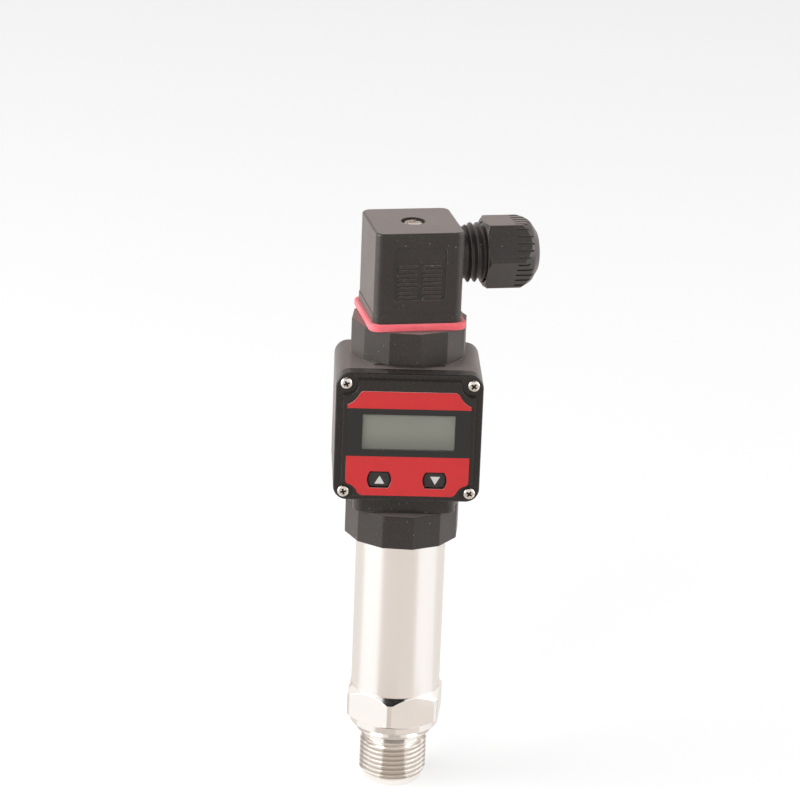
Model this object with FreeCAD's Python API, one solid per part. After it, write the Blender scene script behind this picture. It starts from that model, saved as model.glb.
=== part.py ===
import FreeCAD, Part
import math
import os

from FreeCAD import Vector

# Compact pressure transmitter: a stainless process fitting and tube below, a display head that
# swivels between two twelve-sided collars, and a square valve plug with a cable gland on top.
# The origin is the centre of the pressure port's mouth, +Z is up the tube, the display faces -Y.
# Millimetres and degrees.

# ---- driving dimensions ----

# process fitting, from its mouth upwards
PORT_RADIUS = 3.0
LEAD_RADIUS = 8.8
LEAD_LENGTH = 2.4
LEAD_CHAMFER = 0.8
THREAD_RADIUS = 10.0
THREAD_LENGTH = 11.1
THREAD_CHAMFER = 0.9
UNDERCUT_RADIUS = 8.75
UNDERCUT_LENGTH = 2.9
SHOULDER_RADIUS = 11.2
SHOULDER_LIP = 0.5
HEX_CONE_RADIUS = 13.2
HEX_CONE_LENGTH = 2.6
HEX_BAND_LENGTH = 1.9
HEX_CORNER_RISE = 1.1
HEX_ACROSS = 27.0
HEX_CORNER_RADIUS = 15.1
HEX_LENGTH = 14.4
HEX_TURN = -8.0
SPIGOT_LENGTH = 5.0

# pressure capsule and what holds it
POCKET_RADIUS = 9.55
POCKET_FLOOR = 2.6
CHAMBER_RADIUS = 7.0
CHAMBER_DEPTH = 1.4
CAPSULE_HEIGHT = 8.6
DIAPHRAGM_RIM = 1.0
DIAPHRAGM_DEPTH = 0.4
ORING_SECTION = 1.5
RING_HEIGHT = 3.0
RING_HOLE_RADIUS = 6.0
RING_SLOT = 2.0
PIN_CIRCLE_RADIUS = 3.6
PIN_WIDTH = 0.64
BOARD_THICKNESS = 1.6
BOARD_WIDTH = 18.6
BOARD_HEIGHT = 30.0
# width, depth, height, left edge and rise of each chip on the board
BOARD_CHIPS = (
    (5.0, 1.2, 5.0, -2.5, 8.0),
    (4.0, 1.0, 3.0, 2.6, 16.5),
    (3.0, 1.8, 3.0, -6.5, 20.0),
    (2.0, 0.8, 1.2, -6.0, 14.5),
    (2.0, 0.8, 1.2, 4.6, 9.0),
)

# tube
TUBE_RADIUS = 13.2
TUBE_WALL = 1.6
TUBE_LENGTH = 49.0

# collars, blades and swivel core
CONNECTOR_TURN = 9.0
COLLAR_SIDES = 12
COLLAR_RADIUS = 17.0
COLLAR_EDGE = 0.25
LOWER_COLLAR_HEIGHT = 10.0
UPPER_COLLAR_HEIGHT = 9.8
COLLAR_SPIGOT = 7.0
CORE_RADIUS = 12.2
CORE_WALL = 1.2
BLADE_WIDTH = 6.3
BLADE_THICKNESS = 0.8
BLADE_CIRCLE_RADIUS = 9.0
BLADE_REACH = 9.8
BLADE_TAG = 3.0
SOCKET_HEIGHT = 11.0
INSERT_RADIUS = 2.6
INSERT_HEIGHT = 8.0
SCREW_RADIUS = 1.5

# display head
HEAD_GAP = 0.3
HEAD_HEIGHT = 45.8
COLUMN_RADIUS = 16.8
COLUMN_WALL = 1.1
CHIN_HEIGHT = 6.55
CHIN_WIDTH = 29.8
CHIN_FRONT = 13.5
CHIN_CORNER = 3.0
COLUMN_RISE = 0.5
BOX_WIDTH = 42.3
BOX_CORNER = 4.0
BOX_FRONT = 22.3
BOX_BACK = 10.1
BOX_WALL = 2.6
LID_DEPTH = 6.0
LID_WALL = 1.5
LID_EDGE = 0.5
LABEL_THICKNESS = 0.3
RECESS_DEPTH = 1.3
SCREW_INSET = 2.95
BOSS_RADIUS = 4.2
LID_SCREW_RADIUS = 1.0
LID_SCREW_LENGTH = 13.0
LID_HEAD_RADIUS = 1.7
LID_HEAD_HEIGHT = 1.3
LID_HEAD_EDGE = 0.5
SEAL_WIDTH = 0.8
SEAL_DEPTH = 1.0
SEAL_INSET = 1.2
SEAL_CORNER = 6.8

# raised field, label, window and keys, seen from the front; all but the field are measured from the
# label's middle, which lies above the lid's
LABEL_RISE = 0.6
PLATFORM_WIDTH = 37.9
PLATFORM_HEIGHT = 35.0
POCKET_TOP_RADIUS = 3.5
POCKET_BOTTOM_RADIUS = 2.9
LABEL_SIDE = 17.75
LABEL_TOP = 13.85
LABEL_BOTTOM = 17.85
LABEL_TOP_CORNER = 13.5
LABEL_BOTTOM_CORNER = 13.3
LABEL_TOP_DROP = 4.05
LABEL_BOTTOM_RISE = 4.5
WINDOW_WIDTH = 26.8
WINDOW_HEIGHT = 10.8
WINDOW_RISE = 1.5
WINDOW_CORNER = 0.4
PANE_THICKNESS = 1.0
PANE_OVERLAP = 2.0
KEY_SPACING = 16.0
KEY_DROP = 13.0
KEY_WIDTH = 6.4
KEY_HEIGHT = 4.5
KEY_SIDE_RADIUS = 3.9
KEY_RECESS = 0.5
KEY_FLANGE = 1.0
KEY_FLANGE_THICKNESS = 0.8
KEY_TRAVEL = 0.6
KEY_TRIANGLE_WIDTH = 2.9
KEY_TRIANGLE_HEIGHT = 2.5
KEY_TRIANGLE_DEPTH = 0.15
LCD_BORDER = 3.6
LCD_THICKNESS = 2.6
DISPLAY_BOARD_WIDTH = 33.0
DISPLAY_BOARD_HEIGHT = 31.0
SWITCH_SIZE = 4.5
RIB_THICKNESS = 1.4
RIB_OFFSET = 11.0

# valve plug
GASKET_SIZE = 28.4
GASKET_HOLE = 21.4
GASKET_THICKNESS = 2.1
GASKET_CORNER = 3.0
PLATEAU_SIZE = 20.8
PLATEAU_RISE = 0.5
PLUG_SIZE = 25.8
PLUG_HEIGHT = 26.8
PLUG_WALL = 1.7
PLUG_CORNER = 2.6
PLUG_EDGE = 0.6
PLUG_SKIRT_HEIGHT = 2.6
PLUG_SKIRT_STEP = 0.25
FRAME_WIDTH = 15.3
FRAME_HEIGHT = 16.0
FRAME_RISE = 1.5
FRAME_CORNER = 1.6
FRAME_DEPTH = 0.35
RIB_HEIGHT = 0.7
RIB_COLUMN_WIDTH = 5.5
RIB_COLUMN_GAP = 1.6
RIB_PITCH = 1.3
RIB_COUNT = 8
WELL_RADIUS = 3.5
WELL_DEPTH = 2.55
WELL_WALL = 1.4
WELL_FLOOR = 1.8
SEAL_RING_THICKNESS = 0.6
PLUG_HEAD_RADIUS = 2.8
PLUG_HEAD_HEIGHT = 1.7
PLUG_HEAD_EDGE = 0.5
PLUG_SCREW_GRIP = 4.8
PLUG_SCREW_SLOT = 0.8
PLUG_SLOT_TURN = 40.0
BLOCK_SIZE = 21.6
BLOCK_HEIGHT = 14.5
CLAMP_LENGTH = 6.0
CLAMP_WIDTH = 3.4
CLAMP_DEPTH = 3.0
CLAMP_SCREW_RADIUS = 1.5
CLAMP_HEAD_RADIUS = 1.9
CLAMP_HEAD_HEIGHT = 1.4
CLAMP_SLOT_TURN = 30.0

# cable gland, along the plug's own +X
GLAND_RISE = 17.0
NECK_LENGTH = 16.6
NECK_ROOT_RADIUS = 7.6
NECK_THREAD_RADIUS = 8.65
NECK_THREAD_START = 2.3
NECK_THREAD_PITCH = 2.0
NECK_THREAD_TURNS = 3
NECK_BORE_RADIUS = 5.8
GROMMET_LENGTH = 6.5
GROMMET_SEAT_RADIUS = 6.8
CABLE_RADIUS = 3.5
WASHER_THICKNESS = 0.9
NUT_START = 7.8
NUT_LENGTH = 15.7
NUT_ACROSS = 19.0
NUT_CORNER_EASING = 0.15
NUT_DOME_START = 10.6
NUT_DOME_MIDDLE = 13.7
NUT_DOME_RADIUS = 9.0
NUT_END_RADIUS = 6.0
NUT_HOLE_RADIUS = 4.6
NUT_SLOTS_PER_FLAT = 5
NUT_SLOT_PITCH = 2.1
NUT_SLOT_WIDTH = 0.5
NUT_SLOT_DEPTH = 0.5
NUT_SLOT_START = 8.4

# clearances
PRESS = 0.02
RUNNING = 0.06
SLIP = 0.1
FREE = 0.3
SOCKET_PLAY = 0.35

# ---- levels that follow from them ----

Z_THREAD = LEAD_LENGTH
Z_UNDERCUT = Z_THREAD + THREAD_LENGTH
Z_SHOULDER = Z_UNDERCUT + UNDERCUT_LENGTH
Z_TUBE = Z_SHOULDER + HEX_LENGTH
Z_POCKET = Z_SHOULDER + POCKET_FLOOR
Z_SENSOR_ORING = Z_POCKET + CAPSULE_HEIGHT / 2
Z_RING = Z_POCKET + CAPSULE_HEIGHT
Z_BOARD = Z_RING + RING_HEIGHT
Z_COLLAR = Z_TUBE + TUBE_LENGTH
Z_COLLAR_ORING = Z_COLLAR - COLLAR_SPIGOT / 2
Z_CORE = Z_COLLAR + LOWER_COLLAR_HEIGHT
Z_HEAD = Z_CORE + HEAD_GAP
Z_HEAD_TOP = Z_HEAD + HEAD_HEIGHT
Z_UPPER = Z_HEAD_TOP + HEAD_GAP
Z_GASKET = Z_UPPER + UPPER_COLLAR_HEIGHT
Z_PLUG = Z_GASKET + GASKET_THICKNESS
Z_PLATEAU = Z_PLUG + PLATEAU_RISE
Z_BLOCK = Z_PLATEAU + FREE
Z_PLUG_TOP = Z_PLUG + PLUG_HEIGHT
Z_WELL = Z_PLUG_TOP - WELL_DEPTH
Z_GLAND = Z_PLUG + GLAND_RISE

BOX_HEIGHT = HEAD_HEIGHT - CHIN_HEIGHT - COLUMN_RISE
Z_LID = Z_HEAD + CHIN_HEIGHT + BOX_HEIGHT / 2
Z_LABEL = Z_LID + LABEL_RISE
Y_PLATFORM = -BOX_FRONT + LABEL_THICKNESS
Y_LID_INSIDE = Y_PLATFORM + LID_WALL
Y_JOINT = -BOX_FRONT + LID_DEPTH
Y_RECESS = Y_PLATFORM + RECESS_DEPTH
Y_PANE_BACK = Y_LID_INSIDE + PANE_THICKNESS
Y_LCD_BACK = Y_PANE_BACK + LCD_THICKNESS
Y_BOARD_BACK = Y_LCD_BACK + BOARD_THICKNESS
Z_WINDOW = Z_LABEL + WINDOW_RISE
Z_KEYS = Z_LABEL - KEY_DROP
SCREW_X = BOX_WIDTH / 2 - SCREW_INSET
SCREW_Z = BOX_HEIGHT / 2 - SCREW_INSET
PLUG_FACE = PLUG_SIZE / 2
SOCKET_RADIUS = CORE_RADIUS - CORE_WALL

ORIGIN = Vector(0, 0, 0)
X = Vector(1, 0, 0)
Y = Vector(0, 1, 0)
Z = Vector(0, 0, 1)


# ---- shapes used more than once ----

def wire_of(steps, to_point):
    """Closed wire. A step is (a, b) for a line, or ((a, b), (a, b)) for an arc through and to."""
    edges = []
    here = to_point(*steps[0])
    start = here
    for step in steps[1:]:
        if isinstance(step[0], tuple):
            through = to_point(*step[0])
            end = to_point(*step[1])
            edges.append(Part.Arc(here, through, end).toShape())
        else:
            end = to_point(*step)
            edges.append(Part.makeLine(here, end))
        here = end
    if here.distanceToPoint(start) > 1e-6:
        edges.append(Part.makeLine(here, start))
    return Part.Wire(edges)


def revolved(steps):
    """Solid of revolution about Z from (radius, height) steps."""
    face = Part.Face(wire_of(steps, lambda r, h: Vector(r, 0, h)))
    return face.revolve(ORIGIN, Z, 360)


def ring(outer, inner, low, high):
    body = Part.makeCylinder(outer, high - low, Vector(0, 0, low))
    if inner > 0:
        body = body.cut(Part.makeCylinder(inner, high - low, Vector(0, 0, low)))
    return body


def rounded_steps(width, height, corner):
    """Rounded rectangle about the middle, as steps for wire_of."""
    a = width / 2
    b = height / 2
    inset = corner * (1 - math.sqrt(0.5))
    return [
        (corner - a, -b),
        (a - corner, -b),
        ((a - inset, inset - b), (a, corner - b)),
        (a, b - corner),
        ((a - inset, b - inset), (a - corner, b)),
        (corner - a, b),
        ((inset - a, b - inset), (-a, b - corner)),
        (-a, corner - b),
        ((inset - a, inset - b), (corner - a, -b)),
    ]


def cut_corner_steps(width, height, leg):
    """Rectangle about the middle with its corners cut at 45 degrees."""
    a = width / 2
    b = height / 2
    return [
        (leg - a, -b), (a - leg, -b), (a, leg - b), (a, b - leg),
        (a - leg, b), (leg - a, b), (-a, b - leg), (-a, leg - b),
    ]


def slab(width, depth, corner, low, high):
    """Upright rounded block about the Z axis."""
    wire = wire_of(rounded_steps(width, depth, corner), lambda a, b: Vector(a, b, low))
    return Part.Face(wire).extrude(Vector(0, 0, high - low))


def panel(steps, front, back, middle_x, middle_z):
    """Outline in the X-Z plane, extruded from y = front to y = back."""
    wire = wire_of(steps, lambda a, b: Vector(middle_x + a, front, middle_z + b))
    return Part.Face(wire).extrude(Vector(0, back - front, 0))


def prism(sides, corner_radius, turn, low, high):
    """Regular prism; turn is the angle of one corner from -Y, seen from above."""
    points = []
    for side in range(sides + 1):
        angle = math.radians(turn - 90 + side * 360 / sides)
        points.append(Vector(corner_radius * math.cos(angle), corner_radius * math.sin(angle), low))
    return Part.Face(Part.makePolygon(points)).extrude(Vector(0, 0, high - low))


def edges_at(shape, level):
    """Edges that lie wholly at one height."""
    return [
        edge for edge in shape.Edges
        if abs(edge.BoundBox.ZMin - level) < 1e-6 and abs(edge.BoundBox.ZMax - level) < 1e-6
    ]


def around_z(shape, angle):
    copy = shape.copy()
    copy.rotate(ORIGIN, Z, angle)
    return copy


def on_connector(shape):
    return around_z(shape, CONNECTOR_TURN)


def on_gland(shape):
    """Stand a shape made about Z on the gland's axis, its z = 0 at the plug's side."""
    copy = shape.copy()
    copy.rotate(ORIGIN, Y, 90)
    copy.translate(Vector(PLUG_FACE, 0, Z_GLAND))
    return on_connector(copy)


def lid_corners():
    return [(side * SCREW_X, Z_LID + end * SCREW_Z) for side in (-1, 1) for end in (-1, 1)]


def rod_y(radius, x, z, front, back):
    return Part.makeCylinder(radius, back - front, Vector(x, front, z), Y)


def oring(bore, level):
    """Sealing ring inside a bore, its round section taken as six flats."""
    middle = bore - ORING_SECTION / 2
    corner = ORING_SECTION / 2 / math.cos(math.radians(30))
    angles = [math.radians(30 + 60 * side) for side in range(6)]
    return revolved([(middle + corner * math.cos(a), level + corner * math.sin(a)) for a in angles])


def oring_groove(bore, level):
    half = ORING_SECTION * 0.6
    return ring(bore + FREE, bore - ORING_SECTION, level - half, level + half)


def chamfered_head(radius, height, edge, seat):
    """Round screw head about Z, with its top edge chamfered."""
    top = seat + height
    return revolved([(0, seat), (radius, seat), (radius, top - edge), (radius - edge, top), (0, top)])


# ---- process end ----

def capsule_space():
    return revolved([
        (0, -1),
        (PORT_RADIUS, -1),
        (PORT_RADIUS, Z_POCKET - CHAMBER_DEPTH),
        (CHAMBER_RADIUS, Z_POCKET),
        (POCKET_RADIUS, Z_POCKET),
        (POCKET_RADIUS, Z_TUBE + SPIGOT_LENGTH + 1),
        (0, Z_TUBE + SPIGOT_LENGTH + 1),
    ])


def process_fitting():
    stem = revolved([
        (0, 0),
        (LEAD_RADIUS - LEAD_CHAMFER, 0),
        (LEAD_RADIUS, LEAD_CHAMFER),
        (LEAD_RADIUS, Z_THREAD),
        (THREAD_RADIUS - THREAD_CHAMFER, Z_THREAD),
        (THREAD_RADIUS, Z_THREAD + THREAD_CHAMFER),
        (THREAD_RADIUS, Z_UNDERCUT),
        (UNDERCUT_RADIUS, Z_UNDERCUT + THREAD_RADIUS - UNDERCUT_RADIUS),
        (UNDERCUT_RADIUS, Z_SHOULDER),
        (0, Z_SHOULDER),
    ])
    hex_foot = Z_SHOULDER + HEX_CONE_LENGTH + HEX_BAND_LENGTH
    turned_blank = revolved([
        (0, Z_SHOULDER),
        (SHOULDER_RADIUS, Z_SHOULDER),
        (SHOULDER_RADIUS, Z_SHOULDER + SHOULDER_LIP),
        (HEX_CONE_RADIUS, Z_SHOULDER + HEX_CONE_LENGTH),
        (HEX_CONE_RADIUS, hex_foot),
        (HEX_CORNER_RADIUS, hex_foot + HEX_CORNER_RISE),
        (HEX_CORNER_RADIUS, Z_TUBE - HEX_CORNER_RADIUS + TUBE_RADIUS),
        (TUBE_RADIUS, Z_TUBE),
        (0, Z_TUBE),
    ])
    corner = HEX_ACROSS / 2 / math.cos(math.radians(30))
    hexagon = prism(6, corner, HEX_TURN, Z_SHOULDER, Z_TUBE)
    spigot = ring(TUBE_RADIUS - TUBE_WALL - PRESS, 0, Z_TUBE, Z_TUBE + SPIGOT_LENGTH)
    body = stem.fuse([turned_blank.common(hexagon), spigot])
    return body.cut(capsule_space()).removeSplitter()


def sensor_oring():
    return oring(POCKET_RADIUS, Z_SENSOR_ORING)


def sensor_capsule():
    body = ring(POCKET_RADIUS - PRESS, 0, Z_POCKET, Z_RING)
    diaphragm = ring(CHAMBER_RADIUS - DIAPHRAGM_RIM, 0, Z_POCKET, Z_POCKET + DIAPHRAGM_DEPTH)
    body = body.cut([oring_groove(POCKET_RADIUS, Z_SENSOR_ORING), diaphragm])
    pin = Part.makeBox(PIN_WIDTH, PIN_WIDTH, RING_HEIGHT,
                       Vector(PIN_CIRCLE_RADIUS - PIN_WIDTH / 2, -PIN_WIDTH / 2, Z_RING))
    pins = [around_z(pin, angle) for angle in (0, 90, 180, 270)]
    return body.fuse(pins).removeSplitter()


def clamp_ring():
    body = ring(POCKET_RADIUS - PRESS, RING_HOLE_RADIUS, Z_RING, Z_BOARD)
    slot = Part.makeBox(RING_SLOT, 3 * POCKET_RADIUS, RING_HEIGHT / 2,
                        Vector(-RING_SLOT / 2, -1.5 * POCKET_RADIUS, Z_BOARD - RING_HEIGHT / 2))
    return body.cut(slot)


def signal_board():
    board = Part.makeBox(BOARD_WIDTH, BOARD_THICKNESS, BOARD_HEIGHT,
                         Vector(-BOARD_WIDTH / 2, -BOARD_THICKNESS / 2, Z_BOARD))
    front = -BOARD_THICKNESS / 2
    chips = [
        Part.makeBox(width, depth, height, Vector(x, front - depth, Z_BOARD + rise))
        for width, depth, height, x, rise in BOARD_CHIPS
    ]
    return board.fuse(chips).removeSplitter()


def body_tube():
    return ring(TUBE_RADIUS, TUBE_RADIUS - TUBE_WALL, Z_TUBE, Z_COLLAR)


# ---- collars and swivel core ----

def blades(low, high):
    """Four flat contact blades on the connector's square."""
    blade = Part.makeBox(BLADE_THICKNESS, BLADE_WIDTH, high - low,
                         Vector(BLADE_CIRCLE_RADIUS - BLADE_THICKNESS / 2, -BLADE_WIDTH / 2, low))
    copies = [on_connector(around_z(blade, angle)) for angle in (0, 90, 180, 270)]
    return Part.makeCompound(copies)


def blade_slots(low, high):
    """Room for the blades in a socket."""
    slot = Part.makeBox(BLADE_THICKNESS + 2 * SOCKET_PLAY, BLADE_WIDTH + 2 * SOCKET_PLAY, high - low,
                        Vector(BLADE_CIRCLE_RADIUS - BLADE_THICKNESS / 2 - SOCKET_PLAY,
                               -BLADE_WIDTH / 2 - SOCKET_PLAY, low))
    copies = [on_connector(around_z(slot, angle)) for angle in (0, 90, 180, 270)]
    return Part.makeCompound(copies)


def lower_blades():
    return blades(Z_COLLAR - COLLAR_SPIGOT - BLADE_TAG, Z_CORE + BLADE_REACH)


def upper_blades():
    return blades(Z_UPPER - COLLAR_SPIGOT - BLADE_TAG, Z_PLATEAU + BLADE_REACH)


def thread_insert(top):
    return ring(INSERT_RADIUS, SCREW_RADIUS + RUNNING, top - INSERT_HEIGHT, top)


def lower_insert():
    return thread_insert(Z_CORE)


def upper_insert():
    return thread_insert(Z_PLATEAU)


def collar(low, high):
    body = prism(COLLAR_SIDES, COLLAR_RADIUS, CONNECTOR_TURN, low, high)
    return body.makeChamfer(COLLAR_EDGE, edges_at(body, low) + edges_at(body, high))


def collar_oring():
    return oring(TUBE_RADIUS - TUBE_WALL, Z_COLLAR_ORING)


def lower_collar():
    bore = TUBE_RADIUS - TUBE_WALL
    spigot = ring(bore - PRESS, 0, Z_COLLAR - COLLAR_SPIGOT, Z_COLLAR)
    body = collar(Z_COLLAR, Z_CORE).fuse(spigot.cut(oring_groove(bore, Z_COLLAR_ORING)))
    screw_way = ring(INSERT_RADIUS, 0, Z_CORE - 2 * INSERT_HEIGHT, Z_CORE)
    return body.cut([lower_blades(), screw_way]).removeSplitter()


def head_core():
    return ring(CORE_RADIUS, SOCKET_RADIUS, Z_CORE, Z_UPPER)


def socket_insert():
    body = ring(SOCKET_RADIUS - PRESS, SCREW_RADIUS + SLIP, Z_CORE, Z_CORE + SOCKET_HEIGHT)
    return body.cut(blade_slots(Z_CORE, Z_CORE + BLADE_REACH + SOCKET_PLAY))


def head_screw():
    seat = Z_CORE + SOCKET_HEIGHT
    head = ring(PLUG_HEAD_RADIUS, 0, seat, seat + PLUG_HEAD_HEIGHT)
    slot = Part.makeBox(3 * PLUG_HEAD_RADIUS, PLUG_SCREW_SLOT, PLUG_HEAD_HEIGHT,
                        Vector(-1.5 * PLUG_HEAD_RADIUS, -PLUG_SCREW_SLOT / 2, seat + PLUG_HEAD_HEIGHT / 2))
    shank = ring(SCREW_RADIUS, 0, Z_CORE - INSERT_HEIGHT, seat)
    return head.cut(slot).fuse(shank).removeSplitter()


def upper_collar():
    plateau = on_connector(slab(PLATEAU_SIZE, PLATEAU_SIZE, 1.0, Z_GASKET, Z_PLATEAU))
    spigot = ring(SOCKET_RADIUS - PRESS, 0, Z_UPPER - COLLAR_SPIGOT, Z_UPPER)
    body = collar(Z_UPPER, Z_GASKET).fuse([plateau, spigot])
    screw_way = ring(INSERT_RADIUS, 0, Z_PLATEAU - 2 * INSERT_HEIGHT, Z_PLATEAU)
    return body.cut([upper_blades(), screw_way]).removeSplitter()


# ---- display head ----

def box_block(inset, front, back):
    corner = max(BOX_CORNER - inset, 0.5)
    steps = rounded_steps(BOX_WIDTH - 2 * inset, BOX_HEIGHT - 2 * inset, corner)
    return panel(steps, front, back, 0, Z_LID)


def around_bosses(inset, boss, front, back):
    """Block inside the walls, less a round pillar at each lid screw."""
    pillars = [rod_y(boss, x, z, front, back) for x, z in lid_corners()]
    return box_block(inset, front, back).cut(pillars)


def seal_ring():
    """Flat ring in the lid joint that passes inside each lid screw on a slant."""
    loops = []
    for step in (0, SEAL_WIDTH):
        inset = SEAL_INSET + step
        leg = SEAL_CORNER - (2 - math.sqrt(2)) * step
        steps = cut_corner_steps(BOX_WIDTH - 2 * inset, BOX_HEIGHT - 2 * inset, leg)
        loops.append(panel(steps, Y_JOINT, Y_JOINT + SEAL_DEPTH, 0, Z_LID))
    return loops[0].cut(loops[1])


def display_housing():
    column = ring(COLUMN_RADIUS, 0, Z_HEAD, Z_HEAD_TOP)
    chin_back = -CHIN_FRONT + CHIN_WIDTH / 2
    chin_depth = CHIN_FRONT + chin_back
    chin = slab(CHIN_WIDTH, chin_depth, CHIN_CORNER, Z_HEAD, Z_HEAD + CHIN_HEIGHT + BOX_WALL)
    chin.translate(Vector(0, -CHIN_FRONT + chin_depth / 2, 0))
    front_stock = Part.makeBox(4 * CHIN_WIDTH, COLUMN_RADIUS, CHIN_HEIGHT + HEAD_HEIGHT,
                               Vector(-2 * CHIN_WIDTH, -CHIN_FRONT - COLUMN_RADIUS, Z_HEAD - CHIN_HEIGHT))
    box = box_block(0, Y_JOINT, BOX_BACK)
    body = column.cut(front_stock).fuse([chin, box])
    cavity = around_bosses(BOX_WALL, BOSS_RADIUS, Y_JOINT, BOX_BACK - BOX_WALL)
    swivel_bore = CORE_RADIUS + RUNNING
    sleeve = ring(swivel_bore + COLUMN_WALL, 0, Z_HEAD, Z_HEAD_TOP)
    ribs = []
    for side in (-1, 1):
        ribs.append(Part.makeBox(RIB_THICKNESS, -Y_BOARD_BACK, DISPLAY_BOARD_HEIGHT,
                                 Vector(side * RIB_OFFSET - RIB_THICKNESS / 2, Y_BOARD_BACK,
                                        Z_LID - DISPLAY_BOARD_HEIGHT / 2)))
    body = body.cut(cavity).fuse([sleeve] + ribs)
    body = body.cut(ring(swivel_bore, 0, Z_HEAD, Z_HEAD_TOP))
    screw_holes = [
        rod_y(LID_SCREW_RADIUS, x, z, Y_JOINT, Y_RECESS + LID_SCREW_LENGTH) for x, z in lid_corners()
    ]
    return body.cut(screw_holes + [seal_ring()]).removeSplitter()


def lid_seal():
    return seal_ring()


def label_steps():
    """Outline of the label, hollowed at each corner to clear a lid screw."""
    near = 0.43
    far = 1 - near
    top_run = LABEL_SIDE - LABEL_TOP_CORNER
    bottom_run = LABEL_SIDE - LABEL_BOTTOM_CORNER
    tip = LABEL_TOP - LABEL_TOP_DROP
    heel = LABEL_BOTTOM_RISE - LABEL_BOTTOM
    top_middle = (LABEL_TOP_CORNER + top_run * near, LABEL_TOP - LABEL_TOP_DROP * far)
    bottom_middle = (LABEL_BOTTOM_CORNER + bottom_run * near, LABEL_BOTTOM_RISE * far - LABEL_BOTTOM)
    return [
        (-LABEL_BOTTOM_CORNER, -LABEL_BOTTOM),
        (LABEL_BOTTOM_CORNER, -LABEL_BOTTOM),
        (bottom_middle, (LABEL_SIDE, heel)),
        (LABEL_SIDE, tip),
        (top_middle, (LABEL_TOP_CORNER, LABEL_TOP)),
        (-LABEL_TOP_CORNER, LABEL_TOP),
        ((-top_middle[0], top_middle[1]), (-LABEL_SIDE, tip)),
        (-LABEL_SIDE, heel),
        ((-bottom_middle[0], bottom_middle[1]), (-LABEL_BOTTOM_CORNER, -LABEL_BOTTOM)),
    ]


def key_shape(grow, front, back, side):
    """Push key with a flat top and bottom and bowed sides."""
    half_width = KEY_WIDTH / 2 + grow
    half_height = KEY_HEIGHT / 2 + grow
    side_middle = KEY_WIDTH / 2 - KEY_SIDE_RADIUS
    flat = side_middle + math.sqrt((KEY_SIDE_RADIUS + grow) ** 2 - half_height ** 2)
    steps = [
        (-flat, -half_height),
        (flat, -half_height),
        ((half_width, 0), (flat, half_height)),
        (-flat, half_height),
        ((-half_width, 0), (-flat, -half_height)),
    ]
    return panel(steps, front, back, side * KEY_SPACING / 2, Z_KEYS)


def window_shape(grow, front, back):
    steps = rounded_steps(WINDOW_WIDTH + 2 * grow, WINDOW_HEIGHT + 2 * grow, WINDOW_CORNER + grow)
    return panel(steps, front, back, 0, Z_WINDOW)


def bezel_lid():
    plate = box_block(0, Y_RECESS, Y_JOINT)
    rim = [edge for edge in plate.Edges
           if abs(edge.BoundBox.YMin - Y_RECESS) < 1e-6 and abs(edge.BoundBox.YMax - Y_RECESS) < 1e-6]
    plate = plate.makeChamfer(LID_EDGE, rim)
    field = rounded_steps(PLATFORM_WIDTH, PLATFORM_HEIGHT, LID_EDGE)
    platform = panel(field, Y_PLATFORM, Y_RECESS, 0, Z_LID)
    pockets = []
    for x, z in lid_corners():
        radius = POCKET_TOP_RADIUS if z > Z_LID else POCKET_BOTTOM_RADIUS
        pockets.append(rod_y(radius, x, z, Y_PLATFORM, Y_RECESS))
    platform = platform.cut(pockets)
    inside = around_bosses(BOX_WALL, BOSS_RADIUS, Y_LID_INSIDE, Y_JOINT)
    openings = [window_shape(0, Y_PLATFORM, Y_LID_INSIDE)]
    openings += [key_shape(FREE, Y_PLATFORM, Y_LID_INSIDE, side) for side in (-1, 1)]
    openings += [rod_y(LID_SCREW_RADIUS + FREE, x, z, Y_RECESS, Y_JOINT) for x, z in lid_corners()]
    return plate.fuse(platform).cut([inside] + openings).removeSplitter()


def front_label():
    foil = panel(label_steps(), -BOX_FRONT, Y_PLATFORM, 0, Z_LABEL)
    openings = [window_shape(0, -BOX_FRONT, Y_PLATFORM)]
    openings += [key_shape(FREE, -BOX_FRONT, Y_PLATFORM, side) for side in (-1, 1)]
    return foil.cut(openings)


def window_pane():
    return window_shape(PANE_OVERLAP, Y_LID_INSIDE, Y_PANE_BACK)


def lcd_module():
    frame = window_shape(LCD_BORDER, Y_PANE_BACK, Y_LCD_BACK)
    step = window_shape(LCD_BORDER, Y_PANE_BACK, Y_PANE_BACK + LCD_THICKNESS / 3)
    glass = window_shape(PANE_OVERLAP, Y_PANE_BACK, Y_PANE_BACK + LCD_THICKNESS / 3)
    return frame.cut(step.cut(glass))


def display_board():
    steps = rounded_steps(DISPLAY_BOARD_WIDTH, DISPLAY_BOARD_HEIGHT, 1.0)
    board = panel(steps, Y_LCD_BACK, Y_BOARD_BACK, 0, Z_LID)
    pillars = [rod_y(BOSS_RADIUS + FREE, x, z, Y_LCD_BACK, Y_BOARD_BACK) for x, z in lid_corners()]
    return board.cut(pillars)


def key_stem_back():
    return Y_LID_INSIDE + FREE + KEY_FLANGE_THICKNESS


def push_key(side, points_up):
    front = -BOX_FRONT + KEY_RECESS
    flange = Y_LID_INSIDE + FREE
    cap = key_shape(0, front, flange, side)
    plate = key_shape(KEY_FLANGE, flange, key_stem_back(), side)
    half = KEY_TRIANGLE_WIDTH / 2
    rise = KEY_TRIANGLE_HEIGHT / 2 * points_up
    triangle = panel([(-half, -rise), (half, -rise), (0, rise)], front, front + KEY_TRIANGLE_DEPTH,
                     side * KEY_SPACING / 2, Z_KEYS)
    return cap.fuse(plate).cut(triangle).removeSplitter()


def key_up():
    return push_key(-1, 1)


def key_down():
    return push_key(1, -1)


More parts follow.
